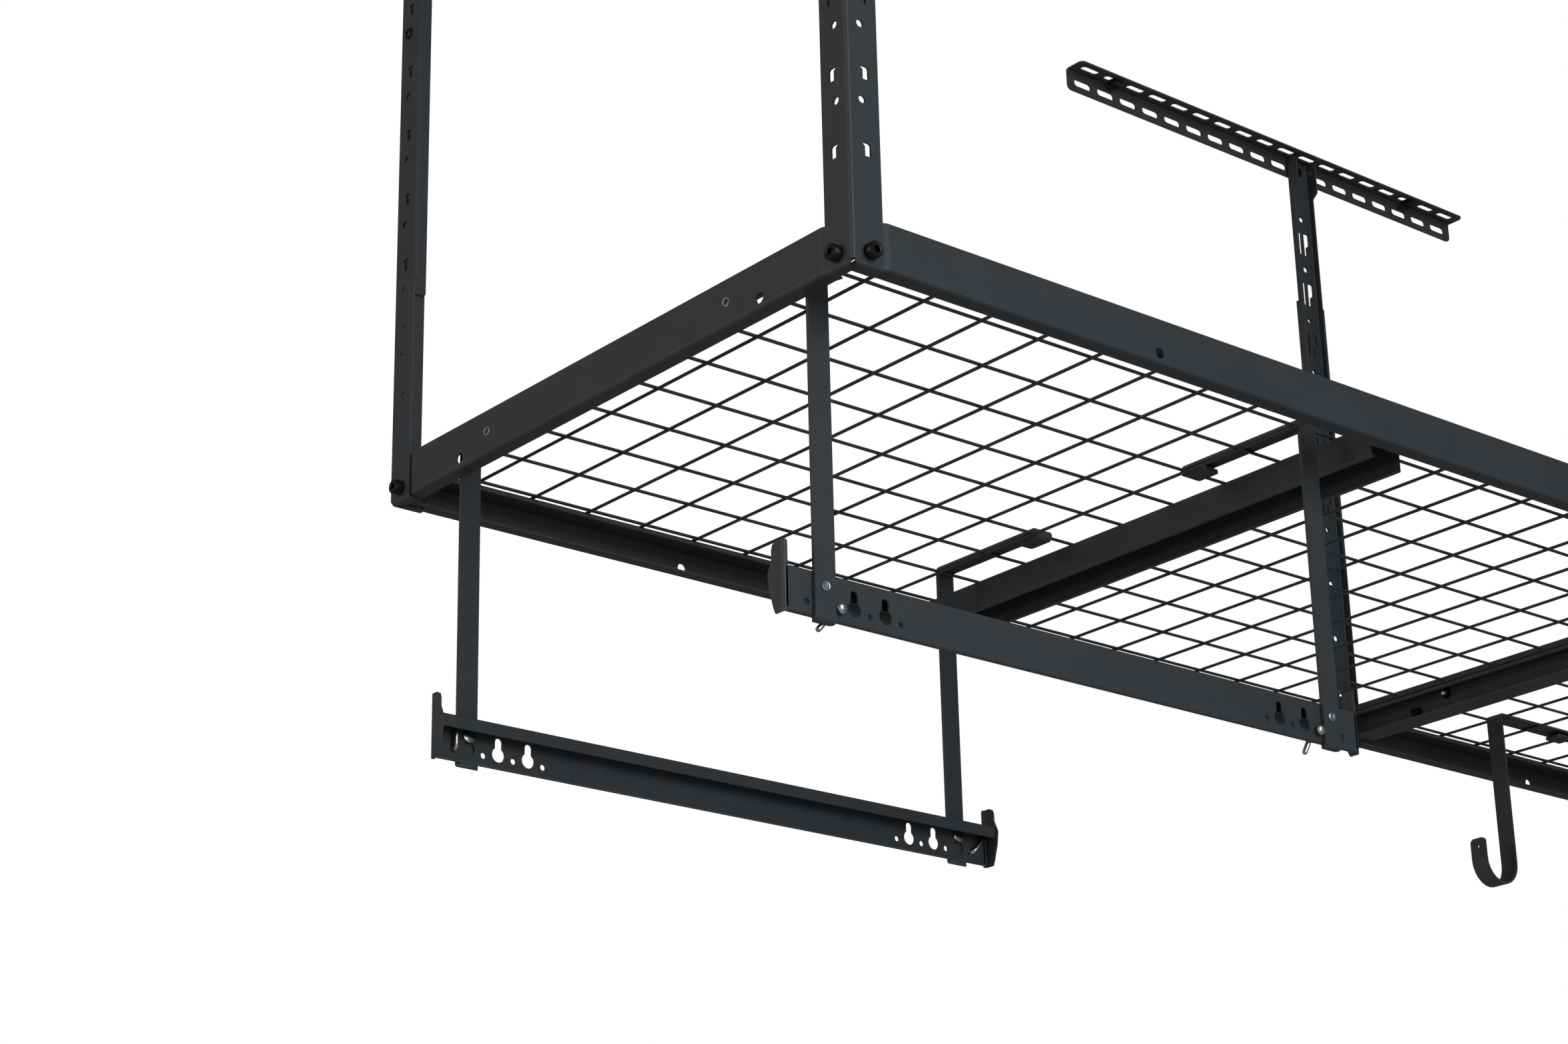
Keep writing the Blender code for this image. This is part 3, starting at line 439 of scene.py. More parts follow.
black_oxide = metal_material("black_oxide", (0.020, 0.020, 0.021, 1), 0.75, 0.34, 0.2)
bright_steel = metal_material("bright_steel", (0.62, 0.60, 0.57, 1), 1.0, 0.26, 0.2)
zinc = metal_material("zinc_plate", (0.60, 0.63, 0.68, 1), 1.0, 0.30, 0.25)


def hardware(name, pieces, finish, body, node_name=None):
    """Turned pieces as one object."""
    points, faces = gathered(pieces)
    made = mesh_object(name, points, faces, [finish])
    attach(made, body)
    if node_name:
        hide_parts(node_name)
    return made


SIDES = (("near", -1), ("far", 1))
ENDS = (("left", -1), ("right", 1))
bracket_pitch = 0.035
for side_name, side in SIDES:
    for where in ("left", "middle", "right"):
        cad = f"bracket_{side_name}_{where}"
        low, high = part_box(cad)
        face = side * max(abs(low.y), abs(high.y))
        leg = high.z - low.z
        cuts = []
        first = (low.x + high.x) / 2 - 8.5 * bracket_pitch
        for n in range(18):
            x = first + n * bracket_pitch
            cuts.append((0, obround(x, leg - 0.014, 0.025, 0.008)))
            cuts.append((1, obround(x, 0.013, 0.025, 0.008)))
        for x, way in ((low.x, -1), (high.x, 1)):
            cuts.append((0, corner_trim(x, 0.0, way, -1, 0.006)))
            cuts.append((1, corner_trim(x, leg - 0.001, way, 1, 0.006)))
        profile = [(0.001, -leg), (0.001, -0.001), (leg, -0.001)]
        place = ((0, face, 0), (1, 0, 0), (0, -side, 0), (0, 0, 1))
        parts = [pressed_sheet(profile, [0.0022], 0.002, (low.x, high.x), cuts, place)]
        sheet_object(f"slotted_{cad}", parts, cad, "ceiling_frame", [warm_coat, cut_edge_wear_and_highlight])
        lag = []
        for n in (1, 15):
            x = first + n * bracket_pitch + 0.004
            y = face - side * 0.014
            lag.append(lathe([(0.0, 0.0085), (0.0012, 0.0085), (0.0016, 0.0062), (0.0062, 0.0062),
                              (0.0068, 0.0054)],
                             (x, y, -0.0022), (0, 0, -1), 24, (2, 3, 4)))
        hardware(f"lag_bolts_{side_name}_{where}", lag, black_oxide, "ceiling_frame")

# ---- Posts ------------------------------------------------------------------------------
# Telescoping uprights in 1.5 mm steel: an angle at each corner, a channel at the middle of
# each long side, the upper piece nested in the lower. Punched with round and notched holes
# at a 63.5 mm pitch; the foot's tabs are folded under the beams.
half_length = -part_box("end_beam_left")[0].x
half_depth = -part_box("long_beam_near_left")[0].y
sheet = 0.0015
step = 0.0635
lock_low, lock_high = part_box("lock_bolt_near_left")
lock_z = (lock_low.z + lock_high.z) / 2
notch_shape = np.array([(-1.6, -5.4), (3.4, -5.4), (3.8, -5.0), (3.8, 3.9), (2.4, 5.4), (-3.4, 5.4),
                        (-3.4, 3.6), (-2.2, 3.1), (-1.6, 1.8)]) / 1000


def foot_tab(end, side, along_x, z0):
    """One tab of a corner foot: folded inward under the beam, its inner end mitred."""
    origin = (end * half_length, side * half_depth, 0)
    ways = ((-end, 0, 0), (0, -side, 0))
    place = (origin, ways[0] if along_x else ways[1], ways[1] if along_x else ways[0], (0, 0, 1))
    profile = [(sheet / 2, z0 + 0.0036), (sheet / 2, z0 + sheet / 2), (0.010, z0 + sheet / 2)]
    cuts = [(1, [(0.0, -0.001), (0.0036, 0.0002), (0.0125, 0.0092), (0.0125, 0.012), (0.0, 0.012)]),
            (1, corner_trim(0.030, 0.010 - sheet / 2, 1, 1, 0.003))]
    return pressed_sheet(profile, [0.0021], sheet, (0.0031, 0.030), cuts, place)


for side_name, side in SIDES:
    for end_name, end in ENDS:
        for layer, body in (("lower", "deck_frame"), ("upper", "ceiling_frame")):
            cad = f"{layer}_post_{side_name}_{end_name}"
            low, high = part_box(cad)
            inset = 0.0018 if layer == "upper" else 0.0
            m, wide = inset + sheet / 2, 0.030
            z0 = low.z + (0.0036 if layer == "lower" else 0.0)
            place = ((end * half_length, side * half_depth, 0), (0, 0, 1), (-end, 0, 0), (0, -side, 0))
            cuts = []
            count = int((high.z - lock_z) / step) + 1
            for k in range(-6, count):
                z = lock_z + k * step
                lift = 0.023 if layer == "lower" else 0.0345
                for leg in (0, 1):
                    def across(u):
                        return wide - u if leg == 0 else u - m
                    if z0 + 0.09 < z < high.z - 0.006:
                        cuts.append((leg, ring(z, across(0.0136), 0.0031)))
                    if z0 + 0.09 < z + lift < high.z - 0.008:
                        shape = [(z + lift + v, across(0.0168 + u)) for u, v in notch_shape]
                        cuts.append((leg, shape))
            ends = [(high.z, 1)] + ([(z0, -1)] if layer == "upper" else [])
            for z, way in ends:
                cuts.append((0, corner_trim(z, 0.0, way, -1, 0.003)))
                cuts.append((1, corner_trim(z, wide - m, way, 1, 0.003)))
            profile = [(wide, m), (m, m), (m, wide)]
            parts = [pressed_sheet(profile, [0.0022 if layer == "lower" else 0.0016], sheet, (z0, high.z),
                                   cuts, place)]
            if layer == "lower":
                parts += [foot_tab(end, side, True, low.z), foot_tab(end, side, False, low.z)]
            sheet_object(f"{cad}_pressed", parts, cad, body)

for side_name, side in SIDES:
    for layer, body in (("lower", "deck_frame"), ("upper", "ceiling_frame")):
        cad = f"{layer}_post_{side_name}_middle"
        low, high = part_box(cad)
        inset = 0.0018 if layer == "upper" else 0.0
        half, m = 0.0185 - inset, inset + sheet / 2
        deep = 0.017 if layer == "upper" else 0.010
        beam_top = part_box("long_beam_near_left")[1].z + 0.0003
        z0 = low.z + (0.0036 if layer == "lower" else 0.0)
        place = ((0, side * half_depth, 0), (0, 0, 1), (1, 0, 0), (0, -side, 0))
        profile = [(-half + sheet / 2, deep), (-half + sheet / 2, m), (half - sheet / 2, m),
                   (half - sheet / 2, deep)]
        cuts = []
        first_leg = deep - m
        if layer == "upper":
            foot = high.z - 0.040
            for leg, tip, way in ((0, 0.0, 1), (2, first_leg, -1)):
                cuts.append((leg, [(z0 - 0.001, tip - way * 0.001), (foot, tip - way * 0.001), (foot, tip),
                                   (foot - 0.006, tip + way * 0.007), (z0 - 0.001, tip + way * 0.007)]))
                cuts.append((leg, corner_trim(high.z, tip, 1, -way, 0.006)))
                cuts.append((leg, ring(high.z - 0.012, tip + way * 0.0072, 0.0032)))
        else:
            for leg, tip, way in ((0, 0.0, 1), (2, first_leg, -1)):
                cuts.append((leg, [(z0 - 0.001, tip - way * 0.001), (beam_top, tip - way * 0.001),
                                   (beam_top + 0.003, tip),
                                   (beam_top, tip + way * 0.003), (beam_top, tip + way * first_leg),
                                   (z0 - 0.001, tip + way * first_leg)]))
                cuts.append((leg, [(high.z + 0.001, tip - way * 0.001), (high.z - 0.004, tip - way * 0.001),
                                   (high.z - 0.004, tip + way * 0.001), (high.z + 0.001, tip + way * 0.004)]))
        for k in range(12):
            z = -0.0764 - k * step
            if max(z0, beam_top) + 0.012 < z < high.z - 0.006:
                cuts.append((1, ring(z, half - sheet / 2, 0.0031)))
            top, bottom = z - 0.017, z - 0.045
            if layer == "upper" and bottom > z0 + 0.006:
                def at(x):
                    return side * x + half - sheet / 2
                cuts.append((1, obround((top + bottom) / 2, at(-0.0048), 0.028, 0.0032)))
                cuts.append((1, [(bottom, at(0.0014)), (bottom, at(0.0048)), (bottom + 0.011, at(0.0048)),
                                 (bottom + 0.0145, at(0.0092)), (top - 0.001, at(0.0092)), (top, at(0.0082)),
                                 (top, at(0.0014))]))
        parts = [pressed_sheet(profile, [0.0018, 0.0018], sheet, (z0, high.z), cuts, place)]
        if layer == "lower":
            tab = [(sheet / 2, low.z + 0.0036), (sheet / 2, low.z + sheet / 2), (0.010, low.z + sheet / 2)]
            tab_place = ((0, side * half_depth, 0), (1, 0, 0), (0, -side, 0), (0, 0, 1))
            trims = [(1, corner_trim(x, 0.010 - sheet / 2, way, 1, 0.003))
                     for x, way in ((half, 1), (-half, -1))]
            parts.append(pressed_sheet(tab, [0.0021], sheet, (-half, half), trims, tab_place))
        sheet_object(f"{cad}_pressed", parts, cad, body)
    bolt_y = side * (half_depth - 0.0018 - sheet)
    top = [lathe([(0.001, 0.0022), (0.0035, 0.0024), (0.0036, 0.0046), (0.0030, 0.0052), (0.0004, 0.0052)],
                 (0.0, bolt_y, -0.016), (0, -side, 0), 24, (0, 1))]
    hardware(f"top_bolt_{side_name}_middle", top, black_oxide, "ceiling_frame")

# ---- Beams ------------------------------------------------------------------------------
# Roll-formed from 1.5 mm sheet: flat web, doubled top edge, a ledge with a turned-down lip
# that the wire decks rest on, and a bottom flange. The ends are pressed in by a sheet's
# thickness to sit flush behind the posts.
beam_low, beam_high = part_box("long_beam_near_left")[0].z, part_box("long_beam_near_left")[1].z
ledge_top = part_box("wire_deck_left_outer")[0].z - 0.0003


def ramp(places):
    """Knots and depths of the pressed-in ends: half cosines 6 mm long between levels."""
    knots, depths = [], []
    for s, before, after in places:
        for share in (-0.6, -0.3, 0.0, 0.1, 0.25, 0.5, 0.75, 0.9, 1.0, 1.3, 1.6):
            knots.append(s + (share - 0.5) * 0.006)
            bend = (1 - math.cos(math.pi * min(max(share, 0.0), 1.0))) / 2
            depths.append(before + (after - before) * bend)
    return np.array(knots), np.array(depths), 0.06


def beam(cad, along, face, inward, reach, set_in, holes, notch):
    """One beam, along X (0) or Y (1); set_in lists (place, depth before, depth after)."""
    low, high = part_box(cad)
    start, end = low[along], high[along]
    t = sheet
    profile = [(0.0147, beam_low + t / 2), (t / 2, beam_low + t / 2), (t / 2, beam_high - t / 2),
               (t / 2 + 0.0016, beam_high - t / 2), (t / 2 + 0.0016, ledge_top - t / 2),
               (reach - t / 2, ledge_top - t / 2), (reach - t / 2, ledge_top - 0.0045)]
    e_s = (1, 0, 0) if along == 0 else (0, 1, 0)
    e_d = (0, inward, 0) if along == 0 else (inward, 0, 0)
    origin = (0, face, 0) if along == 0 else (face, 0, 0)
    cuts = [(1, ring(s, z - beam_low - t / 2, 0.0045, 24)) for s, z in holes]
    if notch:
        for s, way in ((start, 1), (end, -1)):
            box = [(s - way * 0.001, -0.002), (s + way * notch, -0.002), (s + way * notch, 0.0115),
                   (s + way * (notch - 0.003), 0.0132), (s - way * 0.001, 0.0132)]
            cuts.append((0, box))
            cuts.append((4, [(s - way * 0.001, 0.0012), (s + way * (notch - 0.003), 0.0012),
                             (s + way * notch, 0.004),
                             (s + way * notch, 0.05), (s - way * 0.001, 0.05)]))
    parts = [pressed_sheet(profile, [0.0024, 0.0008, 0.0008, 0.0011, 0.0014], t, (start, end), cuts,
                           (origin, e_s, e_d, (0, 0, 1)), ramp(set_in) if set_in else None)]
    return sheet_object(f"{cad}_formed", parts, cad, "deck_frame")


hole_z, insert_z, open_z = beam_low + 0.009, beam_low + 0.0198, beam_low + 0.0086
insert_y, open_y, ramp_middle = 0.1586, 0.1983, 0.0332
for side_name, side in SIDES:
    for end_name, end in ENDS:
        places = [(end * (half_length - ramp_middle), 0.0018), (end * 0.0217, 0.0018)]
        if end < 0:
            set_in = [(places[0][0], 0.0018, 0.0), (places[1][0], 0.0, 0.0018)]
        else:
            set_in = [(places[1][0], 0.0018, 0.0), (places[0][0], 0.0, 0.0018)]
        holes = [(end * 0.314, hole_z), (end * (half_length - 0.314), hole_z)]
        beam(f"long_beam_{side_name}_{end_name}", 0, side * half_depth, -side, 0.030, set_in, holes, 0.0)
for end_name, end in ENDS:
    holes = [(way * y, z) for way in (-1, 1) for y, z in ((insert_y, insert_z), (open_y, open_z))]
    bends = [(-(half_depth - ramp_middle), 0.0018, 0.0), (half_depth - ramp_middle, 0.0, 0.0018)]
    beam(f"end_beam_{end_name}", 1, end * half_length, -end, 0.0142, bends, holes, 0.0285)
    seam = end * 0.00015
    beam(f"middle_beam_{end_name}", 1, seam, end, 0.018, None, holes, 0.0285)

# ---- Hardware of the end and middle beams -----------------------------------------------
# Zinc-plated threaded inserts swaged into the end beams; at the middle beams the same
# holes hold black socket screws and zinc domed studs with black collars.
for end_name, end in ENDS:
    inserts = [lathe([(0.004, 0.0021), (-0.0002, 0.0023), (-0.0006, 0.0027), (-0.0007, 0.0036),
                      (-0.0001, 0.0042),
                      (0.0060, 0.0042)], (end * half_length, way * insert_y, insert_z), (-end, 0, 0), 32)
               for way in (-1, 1)]
    hardware(f"thread_inserts_{end_name}", inserts, zinc, "deck_frame")
    screws, collars, domes = [], [], []
    for way in (-1, 1):
        start = (end * (0.00015 + sheet), way * open_y, open_z)
        screws.append(lathe([(0.0042, 0.0020), (0.0084, 0.0022), (0.0085, 0.0042), (0.0080, 0.0048),
                             (0.0016, 0.0048),
                             (0.0014, 0.0058), (0.0002, 0.0058)], start, (end, 0, 0), 32, (0, 1)))
        start = (end * (0.00015 + sheet), way * insert_y, insert_z)
        collars.append(lathe([(0.0060, 0.0038), (0.0060, 0.0048), (0.0052, 0.0052), (0.0002, 0.0052)], start,
                             (end, 0, 0), 32))
        domes.append(lathe([(0.0092, 0.0008), (0.0090, 0.0018), (0.0082, 0.0030), (0.0070, 0.0036),
                            (0.0055, 0.0037)],
                           start, (end, 0, 0), 32))
    hardware(f"middle_screws_{end_name}", screws + collars, black_oxide, "deck_frame")
    hardware(f"middle_domes_{end_name}", domes, zinc, "deck_frame")

# ---- Deck supports ----------------------------------------------------------------------
# A channel folded from 1.2 mm sheet across the middle of each module, open side down, with
# one leg deeper than the other and both edges turned in.
for end_name, end in ENDS:
    cad = f"deck_support_{end_name}"
    low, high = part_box(cad)
    t, lip = 0.0012, 0.005
    low_left, low_right = high.z - 0.028, high.z - 0.036
    profile = [(low.x + lip, low_left + t / 2), (low.x + t / 2, low_left + t / 2),
               (low.x + t / 2, high.z - t / 2),
               (high.x - t / 2, high.z - t / 2), (high.x - t / 2, low_right + t / 2),
               (high.x - lip, low_right + t / 2)]
    legs = half_depth - 0.0303
    cuts = []
    for y, way in ((low.y, -1), (high.y, 1)):
        cuts.append((1, [(way * legs, -0.012), (way * (abs(y) + 0.001), -0.012),
                         (way * (abs(y) + 0.001), 0.0245),
                         (way * (legs + 0.002), 0.0245), (way * legs, 0.022)]))
        cuts.append((3, [(way * legs, 0.004), (way * (legs + 0.002), 0.0015),
                         (way * (abs(y) + 0.001), 0.0015),
                         (way * (abs(y) + 0.001), 0.06), (way * legs, 0.06)]))
    place = ((0, 0, 0), (0, 1, 0), (1, 0, 0), (0, 0, 1))
    parts = [pressed_sheet(profile, [0.0016] * 4, t, (low.y, high.y), cuts, place)]
    sheet_object(f"{cad}_folded", parts, cad, "deck_frame")

# ---- Wire decks -------------------------------------------------------------------------
# Four loose panels of 3 mm drawn wire, ten wires each way, resistance-welded where they
# cross and dip coated black; each crossing is squeezed together a little.
deck_coat = coat_material("wire_black_coat", (0.018, 0.019, 0.020, 1), (0.036, 0.037, 0.038, 1), 0.48, 0.0,
                          0.0001)


def tube_faces(last, sides):
    """Quads between last + 1 rings of points."""
    return [[k * sides + j, k * sides + (j + 1) % sides, (k + 1) * sides + (j + 1) % sides,
             (k + 1) * sides + j]
            for k in range(last) for j in range(sides)]


def rods(ends, radius, sides=10):
    """Straight round rods: each (start, stop) gets two rings and a shallow cap ring each end."""
    pieces = []
    turn = np.arange(sides) * 2 * math.pi / sides
    for start, stop in ends:
        start, stop = np.array(start, float), np.array(stop, float)
        way = (stop - start) / np.linalg.norm(stop - start)
        up = np.array([0.0, 0.0, 1.0])
        side = np.cross(way, up)
        circle = np.cos(turn)[:, None] * side + np.sin(turn)[:, None] * up
        cap = 0.0004
        rings = [start + radius * 0.7 * circle, start + cap * way + radius * circle,
                 stop - cap * way + radius * circle, stop + radius * 0.7 * circle]
        faces = [f[::-1] for f in tube_faces(3, sides)] + [list(range(sides)),
                                                           [3 * sides + j for j in range(sides)][::-1]]
        pieces.append((np.concatenate(rings), faces))
    return gathered(pieces)


wire = 0.003
pitch_x = (half_length / 2 - 0.0112 - 0.0614) / 9
deck_low, deck_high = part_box("wire_deck_left_outer")
deck_y = (deck_low.y + deck_high.y) / 2
pitch_y = (deck_high.y - deck_low.y - 2 * wire) / 9
wire_plane = (deck_low.z + deck_high.z) / 2
for end_name, end in ENDS:
    for where in ("outer", "inner"):
        cad = f"wire_deck_{end_name}_{where}"
        low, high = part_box(cad)
        first = end * (half_length - 0.0112) if where == "outer" else end * 0.016
        towards = -end if where == "outer" else end
        ends = []
        for k in range(10):
            x = first + towards * k * pitch_x
            ends.append(((x, low.y, wire_plane - 0.0014), (x, high.y, wire_plane - 0.0014)))
            y = deck_y + (k - 4.5) * pitch_y
            ends.append(((low.x, y, wire_plane + 0.0014), (high.x, y, wire_plane + 0.0014)))
        points, faces = rods(ends, wire / 2 - 0.00002)
        made = mesh_object(f"welded_{cad}", points, faces, [deck_coat])
        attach(made, "deck_frame")
        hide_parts(cad)

# ---- Corner bolts -----------------------------------------------------------------------
# Socket-head cap screws, M8, black oxide, two through the foot of each corner post; a low
# button-head screw locks the height of each corner post.
for side_name, side in SIDES:
    for end_name, end in ENDS:
        where = f"{side_name}_{end_name}"
        for kind, way in (("beam_bolt", (0, -side, 0)), ("end_bolt", (-end, 0, 0))):
            low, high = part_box(f"{kind}_{where}")
            middle = (low + high) / 2
            start = [middle.x, middle.y, middle.z]
            axis = 1 if kind == "beam_bolt" else 0
            start[axis] = side * half_depth if axis else end * half_length
            outline = [(-0.0040, 0.0028), (-0.0078, 0.0030), (-0.0080, 0.0033), (-0.0080, 0.0056),
                       (-0.0076, 0.0061),
                       (-0.0070, 0.0064), (-0.0004, 0.0064), (-0.0003, 0.0039), (0.0114, 0.0039),
                       (0.0120, 0.0034)]
            hardware(f"cap_screw_{kind}_{where}", [lathe(outline, start, way, 48, (0, 1, 2))], black_oxide,
                     "deck_frame", f"{kind}_{where}")
        low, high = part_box(f"lock_bolt_{where}")
        start = (end * half_length, (low.y + high.y) / 2, lock_z)
        outline = [(-0.0016, 0.0015), (-0.0029, 0.0017), (-0.0030, 0.0026), (-0.0026, 0.0041),
                   (-0.0017, 0.0050),
                   (-0.0009, 0.0054), (-0.0003, 0.0055), (-0.0002, 0.0025), (0.0015, 0.0025)]
        hardware(f"button_screw_{where}", [lathe(outline, start, (-end, 0, 0), 48, (0, 1))], black_oxide,
                 "deck_frame", f"lock_bolt_{where}")

# ---- Hanging rails ----------------------------------------------------------------------
# Channels folded from 1.5 mm sheet, open towards each other; keyholes and latch holes are
# punched near both ends, and a folded ear closes each end so that nothing slides off.
deck_middle = deck_y
rail_near_low, rail_near_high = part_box("rail_near")
rail_face = deck_middle - rail_near_low.y
rail_low = rail_near_low.z + 0.0008
rail_high = rail_low + 0.035
rail_start, rail_end = rail_near_low.x, rail_near_high.x
strap_xs = [(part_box(f"strap_rivet_near_{e}")[0].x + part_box(f"strap_rivet_near_{e}")[1].x) / 2
            for e in ("left", "right")]
hole_step = 0.0148
for side_name, side in SIDES:
    cad = f"rail_{side_name}"
    t = sheet
    cuts = []
    for x0, inward in ((strap_xs[0], 1), (strap_xs[1], -1)):
        for n in (0, 2, 4):
            x, turn = x0 + inward * n * hole_step, np.linspace(-0.98, math.pi + 0.98, 21)
            circle = np.stack([x + 0.00625 * np.cos(-turn), 0.013 - t / 2 + 0.00625 * np.sin(-turn)], axis=1)
            top = 0.0272 - 0.0035 - t / 2
            arc = np.linspace(math.pi, 0, 9)
            slot_top = np.stack([x + 0.0035 * np.cos(arc), top + 0.0035 * np.sin(arc)], axis=1)
            cuts.append((1, np.concatenate([circle, slot_top])))
        for n in (-1, 1, 3, 5):
            cuts.append((1, ring(x0 + inward * n * hole_step, 0.010 - t / 2, 0.0026)))
    place = ((0, deck_middle + side * rail_face, 0), (1, 0, 0), (0, -side, 0), (0, 0, 1))
    profile = [(0.0035, rail_low + t / 2), (t / 2, rail_low + t / 2), (t / 2, rail_high - t / 2),
               (0.016 - t / 2, rail_high - t / 2), (0.016 - t / 2, rail_high - 0.011)]
    parts = [pressed_sheet(profile, [0.0016, 0.0016, 0.0016], t, (rail_start + 0.0022, rail_end - 0.0022),
                           cuts, place)]
    for x, inward in ((rail_start, 1), (rail_end, -1)):
        ear_low, ear_high = rail_low - 0.0008, rail_high + 0.0185
        fold = [(x + inward * 0.004, t / 2), (x + inward * t / 2, t / 2), (x + inward * t / 2, 0.018)]
        ear_place = ((0, deck_middle + side * rail_face, 0), (0, 0, 1), (1, 0, 0), (0, -side, 0))
        deep = 0.018 - t / 2
        outline = [(ear_low - 0.001, 0.009), (ear_low + 0.005, 0.0115), (rail_low + 0.018, deep - 0.0016),
                   (rail_high - 0.006, deep), (rail_high - 0.006, deep + 0.002),
                   (ear_low - 0.001, deep + 0.002)]
        upper = [(rail_high - 0.004, deep + 0.002), (rail_high - 0.004, deep),
                 (rail_high + 0.006, 0.0135 - t / 2),
                 (ear_high - 0.006, 0.0135 - t / 2), (ear_high - 0.002, 0.0115), (ear_high, 0.0075),
                 (ear_high + 0.001, 0.0075), (ear_high + 0.001, deep + 0.002)]
        parts.append(pressed_sheet(fold, [0.0017], t, (ear_low, ear_high),
                                   [(1, outline), (1, upper),
                                    (0, corner_trim(ear_high, 0.0, 1, -1, 0.002))], ear_place))
    sheet_object(f"hanging_{cad}", parts, cad, "deck_frame")

# ---- Straps, rivets and latch levers ----------------------------------------------------
# Straps are 3 mm flat bar bent over two deck wires, with a foot under the rail. A headed
# stud in each sits in a rail keyhole; a bright pin with a domed head, bent over inside,
# goes through the hole beside it and turns to latch it.
# Known fault: the leg 0 trim below runs on over leg 1 and removes the foot's widened part.
strap_t, strap_half, foot_wide = 0.003, 0.0097, 0.023


def bent_rod(path, radius, dome, sides=20):
    """A pin along a path of points with a ring at each; dome lists (distance, radius)."""
    points = [np.array(p, float) for p in path]
    radii = [r for _, r in dome] + [radius] * (len(points) - len(dome) - 2) + [radius * 0.96, radius * 0.7]
    turn = np.arange(sides) * 2 * math.pi / sides
    rings = []
    for n, point in enumerate(points):
        way = points[min(n + 1, len(points) - 1)] - points[max(n - 1, 0)]
        way /= np.linalg.norm(way)
        first = np.cross(way, (0.37, 0.11, 0.92))
        first /= np.linalg.norm(first)
        second = np.cross(way, first)
        rings.append(point + radii[n] * (np.cos(turn)[:, None] * first + np.sin(turn)[:, None] * second))
    last = len(points) - 1
    return np.concatenate(rings), tube_faces(last, sides) + [list(range(sides))[::-1],
                                                             [last * sides + j for j in range(sides)]]


